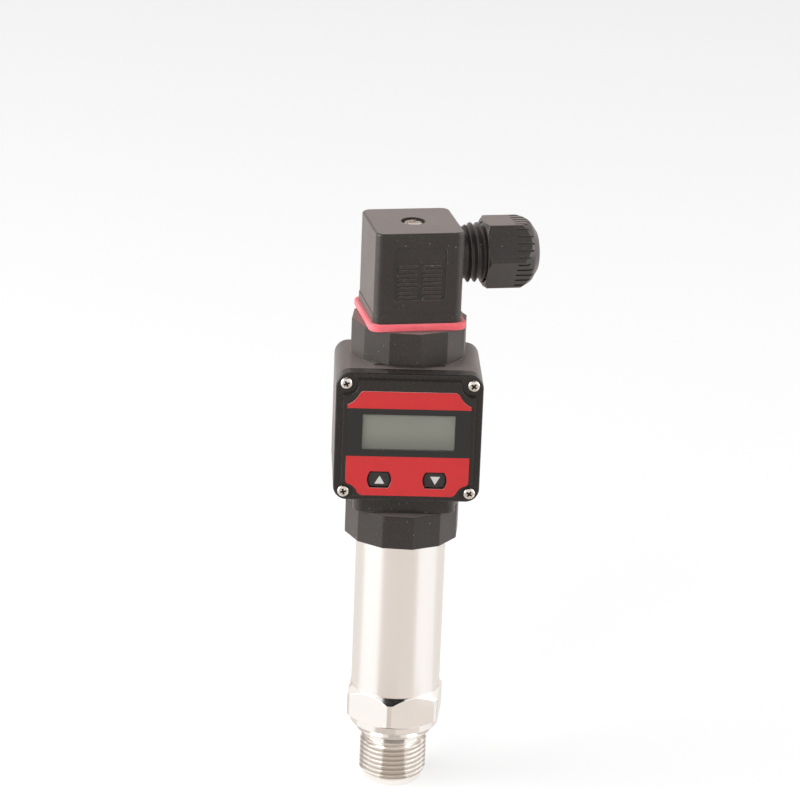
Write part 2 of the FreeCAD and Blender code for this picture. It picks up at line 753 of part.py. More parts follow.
def tact_switches():
    top = key_stem_back() + KEY_TRAVEL + SLIP
    switches = []
    for side in (-1, 1):
        x = side * KEY_SPACING / 2
        body = Part.makeBox(SWITCH_SIZE, (Y_LCD_BACK - top) * 0.6, SWITCH_SIZE,
                            Vector(x - SWITCH_SIZE / 2, top + (Y_LCD_BACK - top) * 0.4,
                                   Z_KEYS - SWITCH_SIZE / 2))
        plunger = rod_y(SWITCH_SIZE / 4, x, Z_KEYS, top, Y_LCD_BACK)
        switches.append(body.fuse(plunger).removeSplitter())
    return Part.makeCompound(switches)


def lid_screw(x, z):
    screw = chamfered_head(LID_HEAD_RADIUS, LID_HEAD_HEIGHT, LID_HEAD_EDGE, 0)
    screw = screw.fuse(ring(LID_SCREW_RADIUS, 0, -LID_SCREW_LENGTH, 0)).removeSplitter()
    screw.rotate(ORIGIN, X, 90)
    screw.translate(Vector(x, Y_RECESS, z))
    return screw


def lid_screws():
    return Part.makeCompound([lid_screw(x, z) for x, z in lid_corners()])


# ---- valve plug ----

def plug_gasket():
    outer = slab(GASKET_SIZE, GASKET_SIZE, GASKET_CORNER, Z_GASKET, Z_PLUG)
    hole = slab(GASKET_HOLE, GASKET_HOLE, 1.2, Z_GASKET, Z_PLUG)
    return on_connector(outer.cut(hole))


def rib_panel():
    """What is cut from the plug's front: a framed field with two columns of ribs left standing."""
    face = -PLUG_FACE
    middle = Z_PLUG + PLUG_HEIGHT / 2 + FRAME_RISE
    field = panel(rounded_steps(FRAME_WIDTH, FRAME_HEIGHT, FRAME_CORNER), face,
                  face + FRAME_DEPTH, 0, middle)
    bars = []
    for side in (-1, 1):
        for row in range(RIB_COUNT):
            x = side * (RIB_COLUMN_WIDTH + RIB_COLUMN_GAP) / 2
            low = middle - FRAME_HEIGHT / 2 + RIB_PITCH * (row + 1) - RIB_HEIGHT
            bars.append(Part.makeBox(RIB_COLUMN_WIDTH, FRAME_DEPTH, RIB_HEIGHT,
                                     Vector(x - RIB_COLUMN_WIDTH / 2, face, low)))
    return field.cut(bars)


def neck_profile():
    """Half section of the neck, threaded where it shows, as (radius, distance from the plug's side)."""
    steps = [(0, -PLUG_WALL), (NECK_ROOT_RADIUS, -PLUG_WALL)]
    for turn in range(NECK_THREAD_TURNS):
        start = NECK_THREAD_START + turn * NECK_THREAD_PITCH
        steps += [
            (NECK_ROOT_RADIUS, start),
            (NECK_THREAD_RADIUS, start + NECK_THREAD_PITCH * 0.4),
            (NECK_THREAD_RADIUS, start + NECK_THREAD_PITCH * 0.6),
        ]
    steps.append((NECK_ROOT_RADIUS, start + NECK_THREAD_PITCH))
    return steps + [(NECK_ROOT_RADIUS, NECK_LENGTH), (0, NECK_LENGTH)]


def plug_housing():
    body = slab(PLUG_SIZE, PLUG_SIZE, PLUG_CORNER, Z_PLUG, Z_PLUG_TOP)
    body = body.makeChamfer(PLUG_EDGE, edges_at(body, Z_PLUG_TOP))
    skirt_size = PLUG_SIZE + 2 * PLUG_SKIRT_STEP
    skirt = slab(skirt_size, skirt_size, PLUG_CORNER + PLUG_SKIRT_STEP, Z_PLUG, Z_PLUG + PLUG_SKIRT_HEIGHT)
    body = body.fuse(skirt).cut(rib_panel())
    inside = slab(PLUG_SIZE - 2 * PLUG_WALL, PLUG_SIZE - 2 * PLUG_WALL, PLUG_CORNER - 1,
                  Z_PLUG, Z_PLUG_TOP - PLUG_WALL)
    well = ring(WELL_RADIUS + WELL_WALL, 0, Z_WELL - WELL_FLOOR, Z_PLUG_TOP - PLUG_EDGE)
    neck = revolved(neck_profile())
    neck_bore = revolved([
        (0, -2 * PLUG_WALL),
        (NECK_BORE_RADIUS, -2 * PLUG_WALL),
        (NECK_BORE_RADIUS, NECK_LENGTH - GROMMET_LENGTH),
        (GROMMET_SEAT_RADIUS, NECK_LENGTH - GROMMET_LENGTH),
        (GROMMET_SEAT_RADIUS, NECK_LENGTH),
        (0, NECK_LENGTH),
    ])
    for piece in (neck, neck_bore):
        piece.rotate(ORIGIN, Y, 90)
        piece.translate(Vector(PLUG_FACE, 0, Z_GLAND))
    body = body.cut(inside).fuse([well, neck])
    body = body.cut([
        neck_bore,
        ring(WELL_RADIUS, 0, Z_WELL, Z_PLUG_TOP),
        ring(SCREW_RADIUS + SLIP, 0, Z_WELL - WELL_FLOOR, Z_WELL),
    ])
    return on_connector(body.removeSplitter())


def clamp_pocket(angle, grow):
    length = CLAMP_LENGTH + 2 * grow
    width = CLAMP_WIDTH + 2 * grow
    pocket = Part.makeBox(width, length, CLAMP_DEPTH,
                          Vector(BLADE_CIRCLE_RADIUS - 1.5 - width / 2, -length / 2,
                                 Z_BLOCK + BLOCK_HEIGHT - CLAMP_DEPTH))
    return on_connector(around_z(pocket, angle))


def terminal_block():
    body = slab(BLOCK_SIZE, BLOCK_SIZE, 1.6, Z_BLOCK, Z_BLOCK + BLOCK_HEIGHT)
    tower = ring(WELL_RADIUS, 0, Z_BLOCK + BLOCK_HEIGHT, Z_WELL - WELL_FLOOR)
    body = on_connector(body.fuse(tower))
    body = body.cut(ring(SCREW_RADIUS + SLIP, 0, Z_BLOCK, Z_WELL))
    body = body.cut(blade_slots(Z_BLOCK, Z_PLATEAU + BLADE_REACH + SOCKET_PLAY))
    pockets = [clamp_pocket(angle, 0) for angle in (0, 90, 180, 270)]
    return body.cut(pockets).removeSplitter()


def clamp_screw_place(angle):
    radians = math.radians(angle + CONNECTOR_TURN)
    reach = BLADE_CIRCLE_RADIUS - 1.5
    return Vector(reach * math.cos(radians), reach * math.sin(radians), 0)


def wire_clamps():
    top = Z_BLOCK + BLOCK_HEIGHT
    clamps = []
    for angle in (0, 90, 180, 270):
        hole = Part.makeCylinder(CLAMP_SCREW_RADIUS, CLAMP_DEPTH,
                                 clamp_screw_place(angle) + Vector(0, 0, top - CLAMP_DEPTH))
        clamps.append(clamp_pocket(angle, 0).cut(hole))
    return Part.makeCompound(clamps)


def terminal_screws():
    top = Z_BLOCK + BLOCK_HEIGHT
    screws = []
    for angle in (0, 90, 180, 270):
        place = clamp_screw_place(angle)
        screw = ring(CLAMP_SCREW_RADIUS, 0, top - CLAMP_DEPTH, top)
        screw = screw.fuse(ring(CLAMP_HEAD_RADIUS, 0, top, top + CLAMP_HEAD_HEIGHT))
        slot = Part.makeBox(3 * CLAMP_HEAD_RADIUS, PLUG_SCREW_SLOT, CLAMP_HEAD_HEIGHT,
                            Vector(-1.5 * CLAMP_HEAD_RADIUS, -PLUG_SCREW_SLOT / 2,
                                   top + CLAMP_HEAD_HEIGHT / 2))
        screw = around_z(screw.cut(slot), angle + CLAMP_SLOT_TURN)
        screw.translate(place)
        screws.append(screw)
    return Part.makeCompound(screws)


def screw_seal():
    return ring(PLUG_HEAD_RADIUS + SLIP, SCREW_RADIUS + SLIP, Z_WELL, Z_WELL + SEAL_RING_THICKNESS)


def plug_screw():
    seat = Z_WELL + SEAL_RING_THICKNESS + RUNNING
    head = chamfered_head(PLUG_HEAD_RADIUS, PLUG_HEAD_HEIGHT, PLUG_HEAD_EDGE, seat)
    slot = Part.makeBox(3 * PLUG_HEAD_RADIUS, PLUG_SCREW_SLOT, PLUG_HEAD_HEIGHT,
                        Vector(-1.5 * PLUG_HEAD_RADIUS, -PLUG_SCREW_SLOT / 2,
                               seat + PLUG_HEAD_HEIGHT / 2))
    shank = ring(SCREW_RADIUS, 0, Z_PLATEAU - PLUG_SCREW_GRIP, seat)
    return head.cut(around_z(slot, PLUG_SLOT_TURN)).fuse(shank).removeSplitter()


# ---- cable gland ----

def gland_grommet():
    start = NECK_LENGTH - GROMMET_LENGTH
    return on_gland(ring(GROMMET_SEAT_RADIUS - PRESS, CABLE_RADIUS, start, NECK_LENGTH))


def washer_start():
    return NECK_LENGTH + FREE


def gland_washer():
    outer = NECK_THREAD_RADIUS - FREE
    return on_gland(ring(outer, NUT_HOLE_RADIUS, washer_start(), washer_start() + WASHER_THICKNESS))


def gland_nut():
    corner = NUT_ACROSS / 2 / math.cos(math.radians(30))
    eased = corner - NUT_CORNER_EASING
    end = NUT_START + NUT_LENGTH
    blank = revolved([
        (0, NUT_START),
        (eased, NUT_START),
        (eased, NUT_START + NUT_DOME_START),
        (NUT_DOME_RADIUS, NUT_START + NUT_DOME_MIDDLE),
        (NUT_END_RADIUS, end),
        (0, end),
    ])
    hexagon = prism(6, corner, 0, NUT_START, end)
    slots = []
    for side in range(6):
        for place in range(NUT_SLOTS_PER_FLAT):
            offset = (place - (NUT_SLOTS_PER_FLAT - 1) / 2) * NUT_SLOT_PITCH
            slot = Part.makeBox(NUT_SLOT_DEPTH + 1, NUT_SLOT_WIDTH, end - NUT_START - NUT_SLOT_START,
                                Vector(NUT_ACROSS / 2 - NUT_SLOT_DEPTH, offset - NUT_SLOT_WIDTH / 2,
                                       NUT_START + NUT_SLOT_START))
            slots.append(around_z(slot, side * 60))
    shoulder = washer_start() + WASHER_THICKNESS + RUNNING
    bore = revolved([
        (0, NUT_START - 1),
        (NECK_THREAD_RADIUS + RUNNING, NUT_START - 1),
        (NECK_THREAD_RADIUS + RUNNING, shoulder),
        (NUT_HOLE_RADIUS, shoulder),
        (NUT_HOLE_RADIUS, end + 1),
        (0, end + 1),
    ])
    body = blank.common(hexagon).cut(slots + [bore])
    return on_gland(body.removeSplitter())


PIECES = (
    process_fitting, sensor_oring, sensor_capsule, clamp_ring, signal_board, body_tube,
    lower_collar, collar_oring, lower_blades, lower_insert, head_core, socket_insert, head_screw,
    upper_collar, upper_blades, upper_insert,
    display_housing, lid_seal, bezel_lid, front_label, window_pane, lcd_module, display_board,
    key_up, key_down, tact_switches, lid_screws,
    plug_gasket, plug_housing, terminal_block, wire_clamps, terminal_screws, screw_seal, plug_screw,
    gland_grommet, gland_washer, gland_nut,
)

os.makedirs("parts", exist_ok=True)
for piece in PIECES:
    shape = piece()
    print(piece.__name__, "solids", len(shape.Solids), "volume", round(shape.Volume, 1),
          "valid", shape.isValid())
    shape.exportStep("parts/" + piece.__name__ + ".step")
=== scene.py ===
import math

import bpy
from mathutils import Matrix, Quaternion, Vector


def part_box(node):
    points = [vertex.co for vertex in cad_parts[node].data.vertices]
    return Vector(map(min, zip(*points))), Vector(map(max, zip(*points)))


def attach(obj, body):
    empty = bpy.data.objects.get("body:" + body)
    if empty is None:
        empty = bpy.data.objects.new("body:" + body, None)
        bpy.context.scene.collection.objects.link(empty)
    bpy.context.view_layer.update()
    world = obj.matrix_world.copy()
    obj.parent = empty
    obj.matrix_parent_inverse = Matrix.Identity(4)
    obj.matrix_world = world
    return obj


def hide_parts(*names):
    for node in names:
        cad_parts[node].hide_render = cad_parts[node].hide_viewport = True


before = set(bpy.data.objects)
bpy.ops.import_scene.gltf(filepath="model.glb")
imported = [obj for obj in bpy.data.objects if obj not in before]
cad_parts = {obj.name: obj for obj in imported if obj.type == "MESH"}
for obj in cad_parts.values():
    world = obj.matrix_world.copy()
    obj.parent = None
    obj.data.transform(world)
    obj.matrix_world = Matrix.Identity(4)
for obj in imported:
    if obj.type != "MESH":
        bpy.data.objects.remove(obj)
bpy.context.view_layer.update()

# ---- process fitting ----
# One bar of stainless steel: stem, undercut and cones are turned, the hexagon is milled and the
# M20 x 1.5 thread is cut last. A 6 mm port runs up its middle to the pressure capsule, and the tube
# is pushed over its spigot and welded.

MM = 0.001
PORT_RADIUS = 3.0
THREAD_RADIUS = 10.0
THREAD_ROOT = 9.1
THREAD_PITCH = 1.5
THREAD_LOW = 2.4
THREAD_HIGH = 13.5
UNDERCUT_RADIUS = 8.75
HEX_ACROSS = 27.0
HEX_TURN = math.radians(-8)
HEX_TOP = 30.8
TUBE_RADIUS = 13.2
SPIGOT_RADIUS = 11.58
POCKET_RADIUS = 9.55
POCKET_FLOOR = 19.0
PORT_TOP = 17.6


def deselect():
    """Leave nothing selected, as before each primitive."""
    bpy.ops.object.select_all(action="DESELECT")


def only(piece):
    """Make one piece the only thing selected, and the one worked on."""
    deselect()
    piece.select_set(True)
    bpy.context.view_layer.objects.active = piece


def settled(piece):
    """Put a piece's place, turn and size into its mesh."""
    only(piece)
    bpy.ops.object.transform_apply(location=True, rotation=True, scale=True)


def added(name):
    """Name the primitive that was just added, with its place and size put into its mesh."""
    piece = bpy.context.object
    piece.name = name
    piece.data.name = name
    settled(piece)
    return piece


def edit(piece, kind="FACE", chosen=lambda item: True):
    """Enter edit mode with only the vertices, edges or faces that pass a test selected."""
    only(piece)
    bpy.ops.object.mode_set(mode="EDIT")
    bpy.ops.mesh.select_mode(type=kind)
    bpy.ops.mesh.select_all(action="DESELECT")
    bpy.ops.object.mode_set(mode="OBJECT")
    mesh = piece.data
    items = {"VERT": mesh.vertices, "EDGE": mesh.edges, "FACE": mesh.polygons}[kind]
    for item in items:
        item.select = chosen(item)
    bpy.ops.object.mode_set(mode="EDIT")


def leave():
    """Leave edit mode."""
    bpy.ops.object.mode_set(mode="OBJECT")


def made_solid(piece):
    """Merge doubled points and turn every face outwards."""
    edit(piece, "VERT")
    bpy.ops.mesh.remove_doubles(threshold=0.002 * MM)
    bpy.ops.mesh.normals_make_consistent(inside=False)
    leave()
    return piece


def modified(piece, kind, **settings):
    """Give a piece a modifier and apply it."""
    only(piece)
    bpy.ops.object.modifier_add(type=kind)
    modifier = piece.modifiers[-1]
    for setting, value in settings.items():
        setattr(modifier, setting, value)
    bpy.ops.object.modifier_apply(modifier=modifier.name)
    return piece


def joined_by(operation, piece, tool):
    """Union, difference or intersection with a second mesh, which is used up."""
    modified(piece, "BOOLEAN", object=tool, operation=operation, solver="EXACT")
    bpy.data.objects.remove(tool)
    return piece


def cut(piece, tool):
    """Take a second mesh away from a piece."""
    joined_by("DIFFERENCE", piece, tool)


def turned(name, outline, sides=96):
    """Solid turned about Z: a filled circle is extruded and resized along (radius, height) steps."""
    radius, height = outline[0]
    deselect()
    bpy.ops.mesh.primitive_circle_add(vertices=sides, radius=radius * MM, fill_type="NGON",
                                      location=(0, 0, height * MM))
    piece = added(name)
    edit(piece)
    for next_radius, next_height in outline[1:]:
        bpy.ops.mesh.extrude_region_move(
            TRANSFORM_OT_translate={"value": (0, 0, (next_height - height) * MM)})
        grow = next_radius / radius
        bpy.ops.transform.resize(value=(grow, grow, 1), center_override=(0, 0, next_height * MM))
        radius, height = next_radius, next_height
    leave()
    return made_solid(piece)


def threaded(name, start, profile, pitch, low, high, sides=72):
    """Rod with a helical thread: a profile drawn point by point, screwed up the axis and cut square."""
    deselect()
    bpy.ops.mesh.primitive_plane_add(size=MM)
    rod = added(name)
    edit(rod, "VERT")
    bpy.ops.mesh.merge(type="CENTER")
    bpy.ops.transform.translate(value=(start * MM, 0, (low - 2 * pitch) * MM))
    for outwards, upwards in profile:
        bpy.ops.mesh.extrude_region_move(
            TRANSFORM_OT_translate={"value": (outwards * MM, 0, upwards * MM)})
    leave()
    turns = math.ceil((high - low) / pitch) + 3
    modified(rod, "SCREW", axis="Z", angle=2 * math.pi, screw_offset=pitch * MM, iterations=turns,
             steps=sides, render_steps=sides, use_merge_vertices=True, merge_threshold=0.001 * MM)
    for level, upwards in ((low, -1), (high, 1)):
        edit(rod, "VERT")
        bpy.ops.mesh.bisect(plane_co=(0, 0, level * MM), plane_no=(0, 0, upwards), use_fill=True,
                            clear_outer=True)
        leave()
    return made_solid(rod)


def smooth(piece, angle=30):
    """Shade a piece smooth up to an angle, with its large faces kept flat beside small roundings."""
    only(piece)
    bpy.ops.object.shade_smooth_by_angle(angle=math.radians(angle))
    return modified(piece, "WEIGHTED_NORMAL", mode="FACE_AREA", weight=50, keep_sharp=True)


def rounded_by(piece, width, segments=2, angle=30):
    """Round every edge sharper than an angle."""
    return modified(piece, "BEVEL", width=width * MM, segments=segments, limit_method="ANGLE",
                    angle_limit=math.radians(angle))


def six_sided(name, across, low, high, turn):
    """Hexagonal bar about Z, measured across its flats."""
    deselect()
    bpy.ops.mesh.primitive_cylinder_add(
        vertices=6, radius=across / 2 / math.cos(math.pi / 6) * MM, depth=(high - low) * MM,
        location=(0, 0, (low + high) / 2 * MM), rotation=(0, 0, turn))
    return added(name)


fitting = turned("fitting", [
    (8.0, 0.0), (8.8, 0.8), (8.8, THREAD_LOW), (UNDERCUT_RADIUS, THREAD_LOW + 0.3),
    (UNDERCUT_RADIUS, 16.1), (9.1, 16.4), (11.1, 16.4), (11.2, 16.5), (11.2, 16.9), (13.2, 19.0),
    (13.2, 20.9), (15.1, 22.0), (15.1, HEX_TOP - 1.9), (TUBE_RADIUS, HEX_TOP),
    (SPIGOT_RADIUS, HEX_TOP), (SPIGOT_RADIUS, 35.8),
], sides=120)
joined_by("INTERSECT", fitting, six_sided("hexagon", HEX_ACROSS, -1, 37, HEX_TURN))
rounded_by(fitting, 0.12, segments=2, angle=38)
thread = threaded("thread", THREAD_ROOT, [
    (0, 0.2), (0.78, 0.44), (0.08, 0.07), (0, 0.08), (-0.08, 0.07), (-0.78, 0.44), (0, 0.2),
], THREAD_PITCH, THREAD_LOW - 0.5, THREAD_HIGH + 0.5)
joined_by("INTERSECT", thread, turned("thread_blank", [
    (9.0, THREAD_LOW), (THREAD_RADIUS, THREAD_LOW + 1.0), (THREAD_RADIUS, THREAD_HIGH - 0.25),
    (8.8, THREAD_HIGH + 0.45),
], sides=120))
joined_by("UNION", fitting, thread)
cut(fitting, turned("port", [
    (PORT_RADIUS, -1), (PORT_RADIUS, PORT_TOP), (7.0, POCKET_FLOOR), (POCKET_RADIUS, POCKET_FLOOR),
    (POCKET_RADIUS, 37),
], sides=64))
smooth(fitting, 22)


def finish(name, **sockets):
    """New material whose Principled shader has its plain sockets set; gives material, tree, shader."""
    material = bpy.data.materials.new(name)
    material.use_nodes = True
    tree = material.node_tree
    shader = tree.nodes["Principled BSDF"]
    for socket, value in sockets.items():
        shader.inputs[socket.replace("_", " ")].default_value = value
    return material, tree, shader


def node(tree, kind, inputs=(), **settings):
    """New node with its settings; inputs are (socket, value) or (socket, output to link from)."""
    made = tree.nodes.new(kind)
    for setting, value in settings.items():
        setattr(made, setting, value)
    for socket, value in inputs:
        if isinstance(value, bpy.types.NodeSocket):
            tree.links.new(value, made.inputs[socket])
        else:
            made.inputs[socket].default_value = value
    return made


def effect(name, takes, gives):
    """Shader node group with named inputs (name, kind, value) and outputs (name, kind)."""
    group = bpy.data.node_groups.new(name, "ShaderNodeTree")
    for title, kind, value in takes:
        socket = group.interface.new_socket(title, in_out="INPUT", socket_type="NodeSocket" + kind)
        socket.default_value = value
    for title, kind in gives:
        group.interface.new_socket(title, in_out="OUTPUT", socket_type="NodeSocket" + kind)
    return group, group.nodes.new("NodeGroupInput"), group.nodes.new("NodeGroupOutput")


def maths(tree, operation, first, second=0.0, third=0.0):
    return node(tree, "ShaderNodeMath", ((0, first), (1, second), (2, third)),
                operation=operation).outputs[0]


def spread(tree, value, low, high, out_low=0.0, out_high=1.0):
    """Map a value from one range to another, smoothly and without overshoot."""
    return node(tree, "ShaderNodeMapRange", (
        ("Value", value), ("From Min", low), ("From Max", high), ("To Min", out_low),
        ("To Max", out_high)), interpolation_type="SMOOTHSTEP").outputs["Result"]


def blended(tree, amount, first, second):
    """Mix of two colours."""
    mix = node(tree, "ShaderNodeMix", ((0, amount), (6, first), (7, second)), data_type="RGBA")
    return mix.outputs[2]


def grain_of(tree, place, scale, detail=3.0, stretch=(1, 1, 1)):
    """Noise value over a piece; stretch above 1 tightens the pattern along an axis."""
    spot = node(tree, "ShaderNodeMapping", (("Vector", place), ("Scale", stretch)))
    return node(tree, "ShaderNodeTexNoise", (
        ("Vector", spot.outputs[0]), ("Scale", scale), ("Detail", detail),
        ("Roughness", 0.55))).outputs["Fac"]


def bumped(tree, strength, distance, height):
    """Normal that follows a height value."""
    return node(tree, "ShaderNodeBump", (
        ("Strength", strength), ("Distance", distance), ("Height", height))).outputs[0]


def object_place(tree):
    """Where a point lies on its piece, in the piece's own coordinates."""
    return node(tree, "ShaderNodeTexCoord").outputs["Object"]


def driven(tree, shader, **links):
    """Link outputs into sockets of a shader; each _ in a name stands for a space."""
    for socket, output in links.items():
        tree.links.new(output, shader.inputs[socket.replace("_", " ")])


def placed(material_tree, group, **values):
    """Put an effect into a material with its own values."""
    made = node(material_tree, "ShaderNodeGroup", node_tree=group)
    for socket, value in values.items():
        made.inputs[socket.replace("_", " ")].default_value = value
    return made


turning, takes, gives = effect("turning_marks", (
    ("Lines per metre", "Float", 5200.0), ("Across", "Float", 1.0), ("Depth", "Float", 0.15),
    ("Roughness", "Float", 0.2), ("Spread", "Float", 0.1),
), (("Roughness", "Float"), ("Normal", "Vector"), ("Tone", "Float"), ("Radius", "Float")))
place = object_place(turning)
xyz = node(turning, "ShaderNodeSeparateXYZ", (("Vector", place),)).outputs
radius = maths(turning, "SQRT", maths(turning, "ADD", maths(turning, "MULTIPLY", xyz[0], xyz[0]),
                                      maths(turning, "MULTIPLY", xyz[1], xyz[1])))
along = maths(turning, "MULTIPLY_ADD", radius, takes.outputs["Across"], xyz[2])
lines = node(turning, "ShaderNodeTexNoise", (
    ("W", along), ("Scale", takes.outputs["Lines per metre"]), ("Detail", 2.0)),
    noise_dimensions="1D").outputs["Fac"]
patches = grain_of(turning, place, 180.0)
marks = maths(turning, "MULTIPLY_ADD", patches, 0.35, maths(turning, "MULTIPLY", lines, 0.65))
bump = bumped(turning, takes.outputs["Depth"], 0.02 * MM, lines)
rough = maths(turning, "MULTIPLY_ADD", maths(turning, "SUBTRACT", marks, 0.5),
              takes.outputs["Spread"], takes.outputs["Roughness"])
for title, value in (
        ("Roughness", rough), ("Normal", bump), ("Tone", marks), ("Radius", radius)):
    turning.links.new(value, gives.inputs[title])

bright_steel, tree, shader = finish("bright_steel", Metallic=1.0)
marks = placed(tree, turning, Depth=0.12, Roughness=0.15, Spread=0.08)
colour = blended(tree, marks.outputs["Tone"], (0.88, 0.835, 0.79, 1), (0.95, 0.91, 0.87, 1))
place = object_place(tree)
height = node(tree, "ShaderNodeSeparateXYZ", (("Vector", place),)).outputs[2]
# Painted shade: the thread's roots are painted darker, by distance from the axis, within the threaded
# length.
groove = maths(tree, "MULTIPLY", spread(tree, marks.outputs["Radius"], 9.75 * MM, 9.3 * MM),
               spread(tree, height, THREAD_HIGH * MM, (THREAD_HIGH - 0.5) * MM))
groove = maths(tree, "MULTIPLY", groove, spread(tree, height, THREAD_LOW * MM, (THREAD_LOW + 0.3) * MM))
colour = blended(tree, groove, colour, (0.72, 0.67, 0.62, 1))
driven(tree, shader, Base_Color=colour, Roughness=marks.outputs["Roughness"],
       Normal=marks.outputs["Normal"])
fitting.data.materials.append(bright_steel)
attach(fitting, "transmitter")
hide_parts("process_fitting")

# ---- body tube ----
# A length of drawn stainless tube, faced at both ends and finished with a fine abrasive belt, so its
# marks run round it. It is welded to the fitting below, and the lower collar is pressed into its top.

tube_low, tube_high = (corner.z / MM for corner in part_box("body_tube"))
TUBE_BORE = 11.6
tube = turned("tube", [
    (TUBE_RADIUS - 0.25, tube_low), (TUBE_RADIUS, tube_low + 0.25), (TUBE_RADIUS, tube_high - 0.2),
    (TUBE_RADIUS - 0.2, tube_high),
], sides=160)
cut(tube, turned("tube_bore", [
    (TUBE_BORE, tube_low - 1), (TUBE_BORE, tube_high + 1)]))
smooth(tube)
satin_steel, tree, shader = finish("satin_steel", Metallic=1.0)
marks = placed(tree, turning, Lines_per_metre=3800.0, Depth=0.07, Roughness=0.25, Spread=0.05)
colour = blended(tree, marks.outputs["Tone"], (0.90, 0.855, 0.82, 1), (0.94, 0.90, 0.865, 1))
driven(tree, shader, Base_Color=colour, Roughness=marks.outputs["Roughness"],
       Normal=marks.outputs["Normal"])
tube.data.materials.append(satin_steel)
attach(tube, "transmitter")
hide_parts("body_tube")

# ---- collars ----
# Two twelve-sided collars moulded in black glass-filled nylon. The lower one is pressed into the
# tube and carries the head's core; the upper one closes the core and carries the plug's contacts.
# Four slots in each hold the contact blades, and a brass insert stands in the middle.

CONNECTOR_TURN = math.radians(9)
COLLAR_RADIUS = 17.0
INSERT_RADIUS = 2.6
BLADE_WIDTH = 6.3
BLADE_THICKNESS = 0.8
BLADE_CIRCLE = 9.0
collar_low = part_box("body_tube")[1].z / MM
collar_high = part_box("lower_collar")[1].z / MM
upper_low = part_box("head_core")[1].z / MM
upper_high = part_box("plug_gasket")[0].z / MM


def block(name, width, depth, height, middle):
    """Plain block about a middle point, as stock or as a cutter."""
    deselect()
    bpy.ops.mesh.primitive_cube_add(size=1, location=[value * MM for value in middle],
                                    scale=(width * MM, depth * MM, height * MM))
    return added(name)


def rounded_block(name, width, depth, height, middle, axis, corner, segments=8):
    """Block whose four edges along one axis (0, 1 or 2) are rounded."""
    piece = block(name, width, depth, height, middle)
    points = piece.data.vertices

    def runs_along(edge):
        step = points[edge.vertices[0]].co - points[edge.vertices[1]].co
        return abs(step[axis]) > 0.9 * step.length

    edit(piece, "EDGE", runs_along)
    bpy.ops.mesh.bevel(offset=corner * MM, segments=segments, affect="EDGES")
    leave()
    return piece


def rim_rounded(piece, axis, level, width, segments=3):
    """Round the edges that lie at one level along an axis."""
    points = piece.data.vertices

    def at_level(edge):
        return all(abs(points[v].co[axis] / MM - level) < 0.01 for v in edge.vertices)

    edit(piece, "EDGE", at_level)
    bpy.ops.mesh.bevel(offset=width * MM, segments=segments, affect="EDGES")
    leave()
    return piece


def about_z(piece, angle):
    """Turn a piece about the Z axis, in its mesh."""
    piece.matrix_world = Matrix.Rotation(angle, 4, "Z")
    settled(piece)
    return piece


def copied(piece, name):
    """Copy of a piece with its own mesh."""
    double = piece.copy()
    double.data = piece.data.copy()
    double.name = name
    double.data.name = name
    bpy.context.collection.objects.link(double)
    return double


def collar(name, low, high, spigot_radius, spigot_low):
    """Twelve-sided ring with rounded edges and a round spigot below it."""
    deselect()
    bpy.ops.mesh.primitive_cylinder_add(vertices=12, radius=COLLAR_RADIUS * MM, depth=(high - low) * MM,
                                        location=(0, 0, (low + high) / 2 * MM))
    piece = added(name)
    edit(piece, "EDGE")
    bpy.ops.mesh.bevel(offset=0.22 * MM, segments=3, affect="EDGES")
    leave()
    joined_by("UNION", piece, turned("spigot", [(spigot_radius, spigot_low), (spigot_radius, low + 1)]))
    return piece


def slotted(piece, low, high):
    """Cut the ways for the four blades and the insert, then turn the piece to the plug's angle."""
    for quarter in range(4):
        slot = block("slot", BLADE_THICKNESS + 0.1, BLADE_WIDTH + 0.1, high - low,
                     (BLADE_CIRCLE, 0, (low + high) / 2))
        cut(piece, about_z(slot, quarter * math.pi / 2))
    cut(piece, turned("insert_way", [
        (INSERT_RADIUS, low), (INSERT_RADIUS, high)], 48))
    return smooth(about_z(piece, CONNECTOR_TURN))


lower_ring = collar("lower_collar_cover", collar_low, collar_high, TUBE_BORE - 0.02, collar_low - 7.0)
slotted(lower_ring, collar_low - 12, collar_high + 1)
upper_ring = collar("upper_collar_cover", upper_low, upper_high, 10.98, upper_low - 7.0)
plateau = rounded_block("plateau", 20.8, 20.8, 1.5, (0, 0, upper_high - 0.25), 2, 1.0, 4)
joined_by("UNION", upper_ring, plateau)
slotted(upper_ring, upper_low - 12, upper_high + 2)

moulding, takes, gives = effect("moulded_surface", (
    ("Colour", "Color", (0.012, 0.0112, 0.0108, 1)), ("Grain size", "Float", 0.36 * MM),
    ("Grain depth", "Float", 0.45), ("Roughness", "Float", 0.36), ("Dust", "Float", 1.0),
    ("Edge highlight", "Float", 0.06),
), (("Colour", "Color"), ("Roughness", "Float"), ("Normal", "Vector")))
place = object_place(moulding)
fineness = maths(moulding, "DIVIDE", 1.0, takes.outputs["Grain size"])
grain = node(moulding, "ShaderNodeTexNoise", (
    ("Vector", place), ("Scale", fineness), ("Detail", 3.0), ("Roughness", 0.6))).outputs["Fac"]
clouds = grain_of(moulding, place, 90.0)
bump = bumped(moulding, takes.outputs["Grain depth"], 0.05 * MM, grain)
cells = node(moulding, "ShaderNodeTexVoronoi", (("Vector", place), ("Scale", 900.0)))
near = spread(moulding, cells.outputs["Distance"], 0.15, 0.07)
shade = node(moulding, "ShaderNodeSeparateColor", (("Color", cells.outputs["Color"]),)).outputs
rare = spread(moulding, shade[0], 0.60, 0.68)
faint = maths(moulding, "POWER", shade[1], 2.0)
speck = maths(moulding, "MULTIPLY", maths(moulding, "MULTIPLY", near, rare),
              maths(moulding, "MULTIPLY", takes.outputs["Dust"], faint))
haze = maths(moulding, "MULTIPLY_ADD", spread(moulding, clouds, 0.4, 0.75), 0.006,
             maths(moulding, "MULTIPLY", spread(moulding, grain, 0.42, 0.75), 0.038))
base = blended(moulding, haze, takes.outputs["Colour"], (0.5, 0.47, 0.44, 1))
